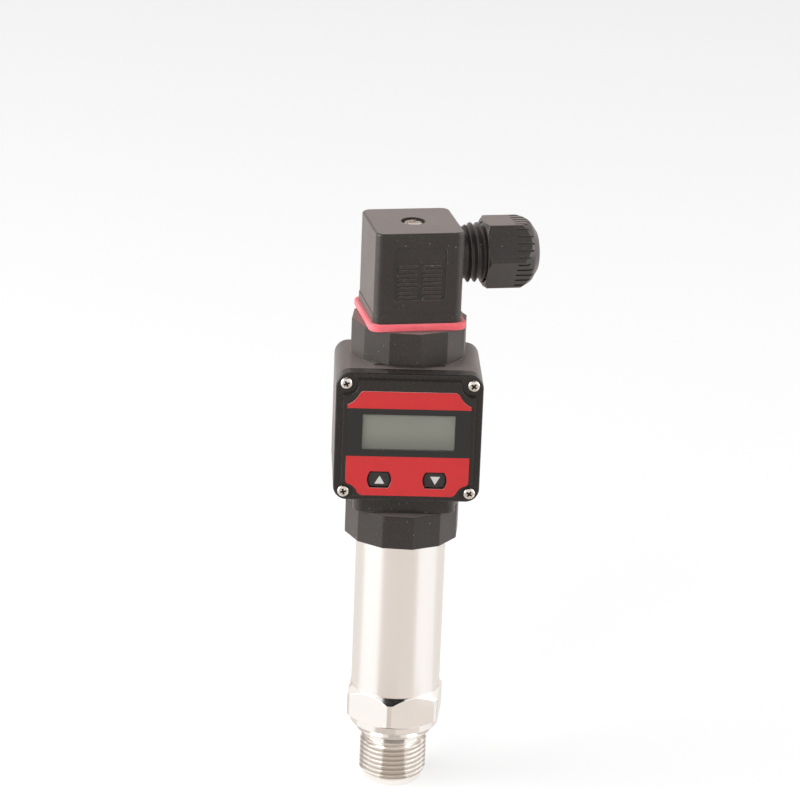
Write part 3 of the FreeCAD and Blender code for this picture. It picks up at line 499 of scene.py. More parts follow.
# Painted highlight: convex edges, found with the Bevel node, are painted lighter in uneven patches,
# standing in for lines of light along them.
eased = node(moulding, "ShaderNodeBevel", (("Radius", 0.22 * MM),), samples=4).outputs[0]
facing = node(moulding, "ShaderNodeNewGeometry").outputs["Normal"]
alike = node(moulding, "ShaderNodeVectorMath", ((0, eased), (1, facing)),
             operation="DOT_PRODUCT").outputs["Value"]
uneven = spread(moulding, clouds, 0.35, 0.65, 0.35, 1.0)
edge_highlight = maths(moulding, "MULTIPLY", spread(moulding, alike, 0.985, 0.90),
               maths(moulding, "MULTIPLY", uneven, takes.outputs["Edge highlight"]))
base = blended(moulding, edge_highlight, base, (0.50, 0.46, 0.44, 1))
for title, value in (
        ("Colour", blended(moulding, speck, base, (0.46, 0.43, 0.41, 1))),
        ("Roughness", maths(moulding, "MULTIPLY_ADD", maths(moulding, "SUBTRACT", clouds, 0.5), 0.16,
                            takes.outputs["Roughness"])),
        ("Normal", bump)):
    moulding.links.new(value, gives.inputs[title])


def moulded(name, colour, specular=0.5, sheen=0.42, **values):
    """Material of a moulded plastic piece."""
    material, tree, shader = finish(
        name, Specular_IOR_Level=specular, Specular_Tint=(1, 0.93, 0.89, 1),
        Sheen_Weight=sheen, Sheen_Roughness=0.45, Sheen_Tint=(1, 0.85, 0.80, 1))
    look = placed(tree, moulding, Colour=colour, **values)
    driven(tree, shader, Base_Color=look.outputs["Colour"], Roughness=look.outputs["Roughness"],
           Normal=look.outputs["Normal"])
    return material


black_nylon = moulded("black_nylon", (0.0130, 0.0108, 0.0102, 1))
for piece, node_name in ((lower_ring, "lower_collar"), (upper_ring, "upper_collar")):
    piece.data.materials.append(black_nylon)
    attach(piece, "transmitter")
    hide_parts(node_name)

# ---- display housing ----
# A box moulded in one with the column that turns on the head's core. Below the box the column has a
# flat-fronted chin. The lid closes its front, and the board stands in the shallow tray behind it.

COLUMN_RADIUS = 16.8
COLUMN_FRONT = -13.4
CHIN_WIDTH = 29.8
CHIN_FRONT = -13.5
CHIN_HEIGHT = 6.55
COLUMN_RISE = 0.5
BOX_CORNER = 4.0
BOX_WALL = 2.6
SWIVEL_BORE = 12.26
BOX_BACK = 10.1
TRAY_DEPTH = 4.0
TRAY_CORNER = 5.5
housing_low, housing_high = (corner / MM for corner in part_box("display_housing"))
box_width = housing_high.x - housing_low.x
box_bottom = housing_low.z + CHIN_HEIGHT
box_height = housing_high.z - COLUMN_RISE - box_bottom
lid_middle = box_bottom + box_height / 2
joint_y = housing_low.y


def cut_corners(name, width, depth, height, middle, leg):
    """Block with its four edges along Y cut at 45 degrees."""
    return rounded_block(name, width, depth, height, middle, 1, leg, 1)


housing = rounded_block("housing", box_width, BOX_BACK - joint_y, box_height,
                        (0, (joint_y + BOX_BACK) / 2, lid_middle), 1, BOX_CORNER)
rim_rounded(housing, 1, BOX_BACK, 0.9)
column = turned("column", [(COLUMN_RADIUS, housing_low.z), (COLUMN_RADIUS, housing_high.z)], 144)
cut(column, block("front_stock", 60, 20, 80, (0, COLUMN_FRONT - 10, lid_middle)))
rounded_by(column, 0.3, 3, 60)
chin_depth = CHIN_WIDTH / 2
chin = rounded_block("chin", CHIN_WIDTH, chin_depth, CHIN_HEIGHT + 2,
                     (0, CHIN_FRONT + chin_depth / 2, housing_low.z + CHIN_HEIGHT / 2 + 1), 2, 3.0)
rim_rounded(chin, 2, housing_low.z, 0.3)
joined_by("UNION", housing, column)
joined_by("UNION", housing, chin)
cut(housing, turned("swivel_bore", [
    (SWIVEL_BORE, housing_low.z - 1), (SWIVEL_BORE, housing_high.z + 1)], 128))
tray_width = box_width - 2 * BOX_WALL
tray_height = box_height - 2 * BOX_WALL
cut(housing, cut_corners(
    "tray", tray_width, TRAY_DEPTH, tray_height, (0, COLUMN_FRONT - 2.1, lid_middle), TRAY_CORNER))
smooth(housing, 28)
housing.data.materials.append(black_nylon)
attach(housing, "display_head")
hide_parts("display_housing")

# ---- lid ----
# A shallow moulded lid with a raised field for the label. Its corners are counterbored for the four
# screws, and it has openings for the display and the two keys.

LID_FACE = -20.7
PLATFORM_FACE = -22.0
LABEL_FACE = -22.3
LID_INSIDE = -20.5
SCREW_X = 18.2
SCREW_Z = 16.425
SCREW_WAY = 1.3
PLATFORM = (37.9, 35.0)
POCKET_UPPER = 3.5
POCKET_LOWER = 2.9
LABEL_RISE = 0.6
label_middle = lid_middle + LABEL_RISE
WINDOW = (26.8, 10.8)
WINDOW_RISE = 1.5
window_level = label_middle + WINDOW_RISE
KEY_X = 8.0
KEY_DROP = 13.0
KEY_SIZE = (6.4, 4.5)
KEY_SIDE_RADIUS = 3.9
KEY_GAP = 0.3


def drawn(name, points, front, back):
    """Flat shape in the X-Z plane: a point is extruded along its outline, filled and given a depth."""
    deselect()
    bpy.ops.mesh.primitive_plane_add(size=MM)
    piece = added(name)
    edit(piece, "VERT")
    bpy.ops.mesh.merge(type="CENTER")
    x, z = points[0]
    bpy.ops.transform.translate(value=(x * MM, front * MM, z * MM))
    for next_x, next_z in points[1:] + points[:1]:
        bpy.ops.mesh.extrude_region_move(
            TRANSFORM_OT_translate={"value": ((next_x - x) * MM, 0, (next_z - z) * MM)})
        x, z = next_x, next_z
    bpy.ops.mesh.select_all(action="SELECT")
    bpy.ops.mesh.remove_doubles(threshold=0.002 * MM)
    bpy.ops.mesh.edge_face_add()
    bpy.ops.mesh.extrude_region_move(TRANSFORM_OT_translate={"value": (0, (back - front) * MM, 0)})
    leave()
    return made_solid(piece)


def bow(start, through, end, steps=8):
    """Points of the round arc from start to end through a middle point, without its start."""
    a, b, c = (Vector(point) for point in (start, through, end))
    lean = 2 * (a.x * (b.y - c.y) + b.x * (c.y - a.y) + c.x * (a.y - b.y))
    aa, bb, cc = (point.length_squared for point in (a, b, c))
    middle = Vector(((aa * (b.y - c.y) + bb * (c.y - a.y) + cc * (a.y - b.y)) / lean,
                     (aa * (c.x - b.x) + bb * (a.x - c.x) + cc * (b.x - a.x)) / lean))
    arm = a - middle
    sweep = arm.angle_signed(b - middle) + (b - middle).angle_signed(c - middle)
    return [tuple(middle + Matrix.Rotation(-sweep * step / steps, 2) @ arm)
            for step in range(1, steps + 1)]


def key_outline(grow, side):
    """Outline of a push key with a flat top and bottom and bowed sides, about its place on the lid."""
    half_width = KEY_SIZE[0] / 2 + grow
    half_height = KEY_SIZE[1] / 2 + grow
    flat = (KEY_SIZE[0] / 2 - KEY_SIDE_RADIUS
            + math.sqrt((KEY_SIDE_RADIUS + grow) ** 2 - half_height ** 2))
    right = [(flat, -half_height)] + bow((flat, -half_height), (half_width, 0), (flat, half_height))
    left = [(-x, -z) for x, z in right]
    return [(x + side * KEY_X, z + label_middle - KEY_DROP) for x, z in right + left]


def screw_places():
    """Where the lid's screws stand, as (x, z)."""
    return [(side * SCREW_X, lid_middle + end * SCREW_Z) for end in (1, -1) for side in (-1, 1)]


def rod_along_y(name, radius, x, z, front, back, sides=48):
    """Round rod along Y, as a cutter."""
    deselect()
    bpy.ops.mesh.primitive_cylinder_add(
        vertices=sides, radius=radius * MM, depth=(back - front) * MM,
        location=(x * MM, (front + back) / 2 * MM, z * MM), rotation=(math.pi / 2, 0, 0))
    return added(name)


lid = rounded_block("lid", box_width, joint_y - LID_FACE, box_height,
                    (0, (joint_y + LID_FACE) / 2, lid_middle), 1, BOX_CORNER)
rim_rounded(lid, 1, LID_FACE, 0.5, 4)
platform = rounded_block("platform", PLATFORM[0], 2.0, PLATFORM[1],
                         (0, PLATFORM_FACE + 1.0, lid_middle), 1, 0.6, 3)
for x, z in screw_places():
    pocket = POCKET_UPPER if z > lid_middle else POCKET_LOWER
    cut(platform, rod_along_y("pocket", pocket, x, z, PLATFORM_FACE - 1, -19))
rounded_by(platform, 0.18, 3, 50)
joined_by("UNION", lid, platform)
cut(lid, cut_corners(
    "lid_hollow", tray_width, joint_y - LID_INSIDE + 1, tray_height,
    (0, (joint_y + LID_INSIDE + 1) / 2, lid_middle), TRAY_CORNER))
cut(lid, block("window_way", WINDOW[0], 4, WINDOW[1], (0, -21.5, window_level)))
for side in (-1, 1):
    cut(lid, drawn("key_way", key_outline(KEY_GAP, side), -23, -19))
for x, z in screw_places():
    cut(lid, rod_along_y("screw_way", SCREW_WAY, x, z, -24, -15, 32))
smooth(lid, 28)
glossy_black = moulded("glossy_black", (0.0085, 0.0072, 0.0068, 1), sheen=0.05, Grain_depth=0.15,
                       Roughness=0.27)
lid.data.materials.append(glossy_black)
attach(lid, "display_head")
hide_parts("bezel_lid")

# ---- label ----
# A printed foil bonded to the raised field: red above and below, with a black band round the display.
# It is die cut with hollow corners that clear the screws. Handling has scuffed its edges.

LABEL_SIDE = 17.75
LABEL_TOP = 13.85
LABEL_BOTTOM = -17.85
BAND_TOP = 8.7
BAND_BOTTOM = -5.85

right_edge = [(12.9, LABEL_BOTTOM)]
for through, end in (
        ((13.75, -17.45), (14.4, -16.6)), ((15.25, -15.35), (16.4, -14.6)),
        ((17.4, -14.1), (LABEL_SIDE, -13.1)), ((LABEL_SIDE + 0.001, -2.0), (LABEL_SIDE, 9.7)),
        ((15.7, 11.05), (14.45, 12.8)), ((14.0, 13.45), (13.3, LABEL_TOP))):
    right_edge += bow(right_edge[-1], through, end, 6)
label_outline = right_edge + [(-x, z) for x, z in reversed(right_edge)]
label = drawn("label", [(x, z + label_middle) for x, z in label_outline], LABEL_FACE, PLATFORM_FACE)
cut(label, block("window_way", WINDOW[0], 2, WINDOW[1], (0, LABEL_FACE, window_level)))
for side in (-1, 1):
    cut(label, drawn("key_way", key_outline(KEY_GAP, side), -23, -21.5))
for level in (BAND_TOP, BAND_BOTTOM):
    edit(label)
    bpy.ops.mesh.bisect(plane_co=(0, 0, (label_middle + level) * MM), plane_no=(0, 0, 1))
    leave()
smooth(label)


def printed(name, colour, worn):
    """Printed foil: an even ink with a faint texture, light scuffs and a few scratches."""
    material, tree, shader = finish(name, Specular_IOR_Level=0.45)
    place = object_place(tree)
    mottle = grain_of(tree, place, 260.0)
    scratch = grain_of(tree, place, 120.0, 6.0, (0.35, 1, 2.6))
    fine = grain_of(tree, place, 2600.0, 2.0)
    scuffs = maths(tree, "MULTIPLY", spread(tree, scratch, 0.70, 0.76), worn)
    darker = [value * 0.94 for value in colour[:3]] + [1]
    even = blended(tree, spread(tree, mottle, 0.3, 0.75), colour, darker)
    bump = bumped(tree, 0.12, 0.02 * MM, fine)
    driven(tree, shader, Base_Color=blended(tree, scuffs, even, (0.80, 0.62, 0.60, 1)),
           Roughness=spread(tree, mottle, 0.2, 0.8, 0.34, 0.5), Normal=bump)
    return material


label.data.materials.append(printed("red_ink", (0.645, 0.022, 0.026, 1), 0.5))
label.data.materials.append(printed("black_ink", (0.014, 0.0125, 0.0125, 1), 0.12))
label.data.materials.append(printed("cut_edge", (0.66, 0.40, 0.39, 1), 0.2))
for face in label.data.polygons:
    level = face.center.z / MM - label_middle
    in_band = BAND_BOTTOM < level < BAND_TOP
    face.material_index = 1 if in_band else 0 if abs(face.normal.y) > 0.5 else 2
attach(label, "display_head")
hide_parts("front_label")

# ---- display ----
# A reflective liquid crystal display, switched off: a flat grey-green glass held behind a clear
# window. The window is bonded to the foil.

LCD_FACE = -21.55
LCD_FRAME = 19.5
lcd_low, lcd_high = (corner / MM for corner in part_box("lcd_module"))
lcd = rounded_block("lcd", WINDOW[0] - 0.1, LID_INSIDE - LCD_FACE + 1, WINDOW[1] - 0.1,
                    (0, (LID_INSIDE + LCD_FACE + 1) / 2, window_level), 1, 0.3, 3)
joined_by("UNION", lcd, rounded_block(
    "lcd_frame", lcd_high.x - lcd_low.x, lcd_high.y + LCD_FRAME, lcd_high.z - lcd_low.z,
    (0, (lcd_high.y - LCD_FRAME) / 2, window_level), 1, 1.0, 3))
rounded_by(lcd, 0.1, 2, 50)
smooth(lcd)
display_glass, tree, shader = finish("display_glass", Specular_IOR_Level=0.4)
place = object_place(tree)
height = node(tree, "ShaderNodeSeparateXYZ", (("Vector", place),)).outputs[2]
# Painted shade: the glass is painted darker towards its bottom, as shade inside the window.
painted_shade_fade = spread(tree, height, window_level * MM - 6.2 * MM, window_level * MM + 0.5 * MM)
tone = grain_of(tree, place, 60.0)
ground = blended(tree, painted_shade_fade, (0.115, 0.110, 0.090, 1), (0.212, 0.212, 0.168, 1))
colour = blended(tree, spread(tree, tone, 0.2, 0.8, 0.0, 0.06), ground, (0.24, 0.265, 0.20, 1))
driven(tree, shader, Base_Color=colour,
       Roughness=spread(tree, grain_of(tree, place, 900.0), 0.2, 0.8, 0.29, 0.31))
lcd.data.materials.append(display_glass)
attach(lcd, "display_head")
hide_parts("lcd_module")

pane = rounded_block("pane", WINDOW[0] - 0.04, 0.5, WINDOW[1] - 0.04,
                     (0, LABEL_FACE + 0.27, window_level), 1, 0.3, 3)
rounded_by(pane, 0.06, 2, 50)
smooth(pane)
clear_pane, tree, shader = finish("clear_pane", Alpha=0.06, IOR=1.49)
place = object_place(tree)
smears = grain_of(tree, place, 150.0, 4.0, (1, 1, 1.8))
colour = blended(tree, spread(tree, smears, 0.3, 0.8), (0.68, 0.68, 0.64, 1), (0.74, 0.74, 0.70, 1))
driven(tree, shader, Base_Color=colour, Roughness=spread(tree, smears, 0.3, 0.8, 0.10, 0.11))
pane.data.materials.append(clear_pane)
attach(pane, "display_head")
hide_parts("window_pane")

# ---- keys ----
# Two push keys in smooth black plastic, each with a white printed triangle. A flange behind the lid
# keeps them in, and each springs back on its switch.

KEY_FACE = -21.8
KEY_FLANGE = 1.0
TRIANGLE = (2.9, 2.5)
TRIANGLE_SHIFT = 0.15
key_plastic = moulded("key_plastic", (0.0105, 0.0098, 0.0098, 1), Grain_depth=0.1,
                      Roughness=0.34, Dust=0.5)
white_ink = moulded("white_ink", (0.66, 0.65, 0.63, 1), Grain_depth=0.2, Roughness=0.5, Dust=0.0)
key_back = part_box("key_up")[1].y / MM
for side, upwards, body in ((-1, 1, "up_key"), (1, -1, "down_key")):
    key = drawn(body + "_cap", key_outline(0, side), KEY_FACE, key_back)
    rim_rounded(key, 1, KEY_FACE, 0.35, 4)
    flange = drawn("flange", key_outline(KEY_FLANGE, side), key_back - 0.8, key_back)
    joined_by("UNION", key, flange)
    smooth(key, 35)
    key.data.materials.append(key_plastic)
    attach(key, body)
    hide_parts("key_up" if upwards > 0 else "key_down")
    foot = label_middle - KEY_DROP - TRIANGLE_SHIFT - TRIANGLE[1] / 2 * upwards
    middle = side * KEY_X + TRIANGLE_SHIFT
    corners = [(middle - TRIANGLE[0] / 2, foot), (middle + TRIANGLE[0] / 2, foot),
               (middle, foot + TRIANGLE[1] * upwards)]
    arrow = drawn(body + "_triangle", corners, KEY_FACE - 0.04, KEY_FACE + 0.2)
    rounded_by(arrow, 0.02, 1, 50)
    smooth(arrow)
    arrow.data.materials.append(white_ink)
    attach(arrow, body)

# ---- lid screws ----
# Four nickel-plated pan-head screws with a cross recess. They hold the lid on its seal and cut their
# own thread in the housing's corners.

SCREW_HEAD = 1.7
SCREW_RISE = 1.3
SCREW_SHANK = 1.0
SCREW_LENGTH = 13.0
RECESS = (2.35, 0.62, 1.2)
SCREW_TURNS = (24, -38, 12, 55)
screw = turned("screw", [
    (SCREW_SHANK * 0.4, -SCREW_LENGTH), (SCREW_SHANK, 0.9 - SCREW_LENGTH), (SCREW_SHANK, 0),
    (SCREW_HEAD - 0.06, 0), (SCREW_HEAD, 0.1), (SCREW_HEAD, 0.72), (1.6, 0.92), (1.4, 1.08),
    (1.05, 1.19), (0.6, 1.27), (0.2, SCREW_RISE)], 48)
for turn in (0, math.pi / 2):
    bar = block("recess", *RECESS, (0, 0, 1.15))
    edit(bar, "VERT", lambda point: point.co.z < 1.0 * MM)
    bpy.ops.transform.resize(value=(0.5, 0.8, 1), center_override=(0, 0, 0))
    leave()
    cut(screw, about_z(bar, turn))
smooth(screw, 30)
nickel, tree, shader = finish("nickel", Metallic=1.0)
place = object_place(tree)
cloud = grain_of(tree, place, 1500.0)
colour = blended(tree, spread(tree, cloud, 0.3, 0.7), (0.60, 0.53, 0.46, 1), (0.88, 0.84, 0.79, 1))
driven(tree, shader, Base_Color=colour, Roughness=spread(tree, cloud, 0.2, 0.8, 0.14, 0.34))
# Painted shade: the faces of the cross recess get a near-black matt material that stands in for the shade
# inside it.
recess_shade, tree, shader = finish("painted_recess_shade", Roughness=0.7)
place = object_place(tree)
shade_mottle = spread(tree, grain_of(tree, place, 2400.0), 0.3, 0.7)
driven(tree, shader, Base_Color=blended(tree, shade_mottle, (0.012, 0.008, 0.006, 1), (0.05, 0.034, 0.026, 1)))
screw.data.materials.append(nickel)
screw.data.materials.append(recess_shade)
# The recess faces take the painted shade material.
for face in screw.data.polygons:
    spot = face.center / MM
    inside = math.hypot(spot.x, spot.y) < 1.25 and spot.z > 0.3
    face.material_index = 1 if inside and (face.normal.z < 0.5 or spot.z < 1.0) else 0
for index, ((x, z), turn) in enumerate(zip(screw_places(), SCREW_TURNS)):
    one = copied(screw, "lid_screw_%d" % (index + 1))
    one.matrix_world = (Matrix.Translation((x * MM, LID_FACE * MM, z * MM))
                        @ Matrix.Rotation(math.pi / 2, 4, "X")
                        @ Matrix.Rotation(math.radians(turn), 4, "Z"))
    settled(one)
    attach(one, "display_head")
    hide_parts("lid_screws")
bpy.data.objects.remove(screw)

# ---- gasket ----
# A square profile seal stamped from soft pink-red silicone. It lies between the plug and the upper
# collar, and bulges a little where it is squeezed.

gasket_low, gasket_high = (corner.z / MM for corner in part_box("plug_gasket"))
GASKET_SIZE = 28.4
GASKET_HOLE = 21.4
gasket = rounded_block("gasket", GASKET_SIZE, GASKET_SIZE, gasket_high - gasket_low,
                       (0, 0, (gasket_low + gasket_high) / 2), 2, 3.0)
rim_rounded(gasket, 2, gasket_high, 0.45)
rim_rounded(gasket, 2, gasket_low, 0.45)
cut(gasket, rounded_block(
    "gasket_hole", GASKET_HOLE, GASKET_HOLE, 6, (0, 0, gasket_low), 2, 1.2, 4))
smooth(about_z(gasket, CONNECTOR_TURN), 35)
silicone, tree, shader = finish(
    "silicone", Roughness=0.46, Subsurface_Weight=0.25, Subsurface_Scale=0.5 * MM,
    Sheen_Weight=0.25, Sheen_Roughness=0.5)
place = object_place(tree)
soft = grain_of(tree, place, 220.0)
ragged = grain_of(tree, place, 1100.0, 4.0, (1, 1, 0.6))
colour = blended(tree, spread(tree, soft, 0.3, 0.75), (0.92, 0.125, 0.155, 1), (0.95, 0.175, 0.21, 1))
bump = bumped(tree, 0.25, 0.1 * MM, ragged)
driven(tree, shader, Base_Color=colour, Normal=bump)
gasket.data.materials.append(silicone)
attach(gasket, "plug")
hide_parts("plug_gasket")

# ---- plug housing ----
# The square cap of the valve plug, moulded in black glass-filled nylon with its threaded cable neck.
# Its front has a framed grip of fine ribs, its foot a slight skirt, and a well in the top takes the
# centre screw.

plug_low = gasket_high
plug_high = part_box("plug_housing")[1].z / MM
PLUG_SIZE = 25.8
PLUG_CORNER = 2.6
PLUG_WALL = 1.7
plug_face = PLUG_SIZE / 2
gland_level = plug_low + 17.0
SKIRT_STEP = 0.25
SKIRT_HEIGHT = 2.6
GRIP = (15.3, 16.0)
GRIP_DEPTH = 0.35
GRIP_RISE = 1.5
RIB = (5.5, 0.66, 0.72)
RIB_SIDE = 3.55
RIB_PITCH = 1.3
RIB_ROWS = 8
WELL_RADIUS = 3.5
WELL_DEPTH = 2.55
WELL_FLOOR = 1.8
NECK_LENGTH = 16.6
NECK_ROOT = 7.6
NECK_PITCH = 2.0
NECK_START = 2.3
NECK_BLANK = 8.8
NECK_BORE = 5.8
GROMMET_SEAT = 6.8
GROMMET_LENGTH = 6.5


def on_gland(piece):
    """Stand a piece made about Z on the cable gland's axis, its foot at the plug's side."""
    piece.matrix_world = (Matrix.Rotation(CONNECTOR_TURN, 4, "Z")
                          @ Matrix.Translation((plug_face * MM, 0, gland_level * MM))
                          @ Matrix.Rotation(math.pi / 2, 4, "Y"))
    settled(piece)
    return piece


plug = rounded_block("plug_cover", PLUG_SIZE, PLUG_SIZE, plug_high - plug_low,
                     (0, 0, (plug_low + plug_high) / 2), 2, PLUG_CORNER)
rim_rounded(plug, 2, plug_high, 0.7, 4)
skirt_size = PLUG_SIZE + 2 * SKIRT_STEP
skirt = rounded_block("skirt", skirt_size, skirt_size, SKIRT_HEIGHT,
                      (0, 0, plug_low + SKIRT_HEIGHT / 2), 2, PLUG_CORNER + SKIRT_STEP)
rim_rounded(skirt, 2, plug_low + SKIRT_HEIGHT, 0.24, 4)
joined_by("UNION", plug, skirt)
grip_middle = plug_low + (plug_high - plug_low) / 2 + GRIP_RISE
field = rounded_block("field", GRIP[0], 2 * GRIP_DEPTH, GRIP[1],
                      (0, -plug_face, grip_middle), 1, 1.6, 5)
cut(plug, field)
rib_y = 0.03 - plug_face + GRIP_DEPTH / 2
rib = rounded_block("rib", *RIB, (0, rib_y, 0), 1, 0.3, 3)
rim_rounded(rib, 1, rib_y - RIB[1] / 2, 0.14, 2)
for side in (-1, 1):
    for row in range(RIB_ROWS):
        one = copied(rib, "one_rib")
        rib_level = grip_middle - GRIP[1] / 2 + RIB_PITCH * (row + 1) - RIB[2] / 2
        one.location = (side * RIB_SIDE * MM, 0, rib_level * MM)
        only(one)
        bpy.ops.object.transform_apply(location=True)
        joined_by("UNION", plug, one)
bpy.data.objects.remove(rib)
hollow_top = plug_high - WELL_DEPTH - WELL_FLOOR
cut(plug, rounded_block(
    "plug_hollow", PLUG_SIZE - 2 * PLUG_WALL, PLUG_SIZE - 2 * PLUG_WALL, 2 * (hollow_top - plug_low),
    (0, 0, plug_low), 2, 1.6, 4))
cut(plug, turned("well", [
    (1.6, plug_high - 12), (1.6, plug_high - WELL_DEPTH), (WELL_RADIUS, plug_high - WELL_DEPTH),
    (WELL_RADIUS, plug_high - 0.1), (WELL_RADIUS + 0.2, plug_high + 0.1)], 64))
about_z(plug, CONNECTOR_TURN)
neck = threaded("neck", NECK_ROOT, [
    (0, 0.3), (0.55, 0.42), (0.35, 0.14), (0.15, 0.12), (0, 0.14), (-0.15, 0.12), (-0.35, 0.14),
    (-0.55, 0.42), (0, 0.2),
], NECK_PITCH, NECK_START, NECK_LENGTH - 0.2, 80)
joined_by("INTERSECT", neck, turned("neck_blank", [
    (NECK_ROOT, NECK_START), (NECK_BLANK, 3.3), (NECK_BLANK, NECK_LENGTH - 1.2),
    (NECK_ROOT, NECK_LENGTH - 0.2)], 96))
joined_by("UNION", neck, turned("neck_core", [(7.55, -0.8), (7.55, NECK_LENGTH)], 80))
joined_by("UNION", plug, on_gland(neck))
cut(plug, on_gland(turned("neck_bore", [
    (NECK_BORE, -4), (NECK_BORE, NECK_LENGTH - GROMMET_LENGTH),
    (GROMMET_SEAT, NECK_LENGTH - GROMMET_LENGTH),
    (GROMMET_SEAT, NECK_LENGTH + 1)], 64)))
smooth(plug, 28)
plug.data.materials.append(black_nylon)
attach(plug, "plug")
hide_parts("plug_housing")

# ---- centre screw ----
# A nickel-plated M3 screw with a slotted pan head, turned and plated. It draws the plug down on its
# gasket and runs in the brass insert of the upper collar.

screw_low, screw_high = (corner.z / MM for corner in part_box("plug_screw"))
HEAD_RADIUS = 2.8
SLOT_WIDTH = 0.8
SLOT_TURN = math.radians(40)
seat = screw_high - 1.7
centre_screw = turned("centre_screw_body", [
    (1.1, screw_low), (1.5, screw_low + 0.5), (1.5, seat), (HEAD_RADIUS - 0.1, seat),
    (HEAD_RADIUS, seat + 0.1), (HEAD_RADIUS, seat + 1.1), (2.68, seat + 1.35), (2.3, seat + 1.58),
    (1.6, screw_high)], 64)
slot = block("slot", 8, SLOT_WIDTH, 1.4, (0, 0, screw_high))
cut(centre_screw, about_z(slot, SLOT_TURN))
smooth(centre_screw, 35)
centre_screw.data.materials.append(nickel)
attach(centre_screw, "centre_screw")
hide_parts("plug_screw")

# ---- gland nut ----
# The hexagonal cap nut of the cable gland, moulded in nylon with a domed end. Short grip slots run
# along each flat into the dome.

NUT_START = 7.8
NUT_END = 23.5
NUT_ACROSS = 19.0
NUT_CORNER = NUT_ACROSS / 2 / math.cos(math.pi / 6) - 0.15
DOME_START = NUT_START + 10.6
NUT_HOLE = 4.6
NUT_BORE = 8.71
FREE = 0.3
WASHER_THICKNESS = 0.9
RUNNING = 0.06
NUT_SHOULDER = NECK_LENGTH + FREE + WASHER_THICKNESS + RUNNING
GROOVES_A_FLAT = 5
GROOVE_PITCH = 2.1
GROOVE_START = 8.4
GROOVE_LENGTH = 9.0
nut = turned("gland_nut_cover", [
    (NUT_CORNER - 1.0, NUT_START), (NUT_CORNER, NUT_START + 0.75), (NUT_CORNER, DOME_START - 0.4),
    (10.73, DOME_START + 0.1), (10.5, DOME_START + 0.55), (9.3, DOME_START + 2.6),
    (9.0, DOME_START + 3.0), (8.5, DOME_START + 3.45), (6.9, DOME_START + 4.5),
    (6.45, DOME_START + 4.8), (6.0, NUT_END)], 144)
joined_by("INTERSECT", nut, six_sided("nut_hexagon", NUT_ACROSS, NUT_START - 1, NUT_END + 1, 0))
rounded_by(nut, 0.15, 2, 40)
for flat in range(6):
    for place_on_flat in range(GROOVES_A_FLAT):
        offset = (place_on_flat - GROOVES_A_FLAT // 2) * GROOVE_PITCH
        groove = rounded_block("groove", 1.1, 0.62, GROOVE_LENGTH, (
            NUT_ACROSS / 2, offset, NUT_START + GROOVE_START + GROOVE_LENGTH / 2), 0, 0.25, 2)
        cut(nut, about_z(groove, flat * math.pi / 3))
cut(nut, turned("nut_bore", [
    (NUT_BORE + 0.3, NUT_START - 0.3), (NUT_BORE, NUT_START + 0.3), (NUT_BORE, NUT_SHOULDER),
    (NUT_HOLE, NUT_SHOULDER), (NUT_HOLE, NUT_END - 0.4), (NUT_HOLE + 0.6, NUT_END + 0.2)], 96))
smooth(on_gland(nut), 30)
nut.data.materials.append(black_nylon)
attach(nut, "gland_cap")
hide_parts("gland_nut")

# ---- inner pieces ----
# What the tube, the head and the plug hold: the pressure capsule with its board, the seals, the
# contact blades with their inserts and clamps, the head's core, the display board and its switches.

dull_steel, tree, shader = finish("dull_steel", Metallic=1.0)
marks = placed(tree, turning, Lines_per_metre=2500.0, Depth=0.3, Roughness=0.34, Spread=0.15)
colour = blended(tree, marks.outputs["Tone"], (0.46, 0.455, 0.45, 1), (0.66, 0.65, 0.64, 1))
driven(tree, shader, Base_Color=colour, Roughness=marks.outputs["Roughness"],
       Normal=marks.outputs["Normal"])


def metal(name, dark, light, low, high):
    """Plated or bare metal with a cloudy tone."""
    material, tree, shader = finish(name, Metallic=1.0)
    place = object_place(tree)
    cloud = grain_of(tree, place, 700.0)
    driven(tree, shader, Base_Color=blended(tree, spread(tree, cloud, 0.25, 0.75), dark, light),
           Roughness=spread(tree, cloud, 0.2, 0.8, low, high))
    return material


def circuit_board():
    """Green solder mask over copper tracks."""
    material, tree, shader = finish("solder_mask", Specular_IOR_Level=0.5)
    place = object_place(tree)
    cells = node(tree, "ShaderNodeTexVoronoi", (("Vector", place), ("Scale", 520.0)),
                 distance="MANHATTAN", feature="F1").outputs["Distance"]
    track = spread(tree, cells, 0.42, 0.46)
    bump = bumped(tree, 0.4, 0.03 * MM, track)
    driven(tree, shader, Base_Color=blended(tree, track, (0.012, 0.110, 0.045, 1), (0.03, 0.21, 0.09, 1)),
           Roughness=spread(tree, track, 0, 1, 0.38, 0.28), Normal=bump)
    return material


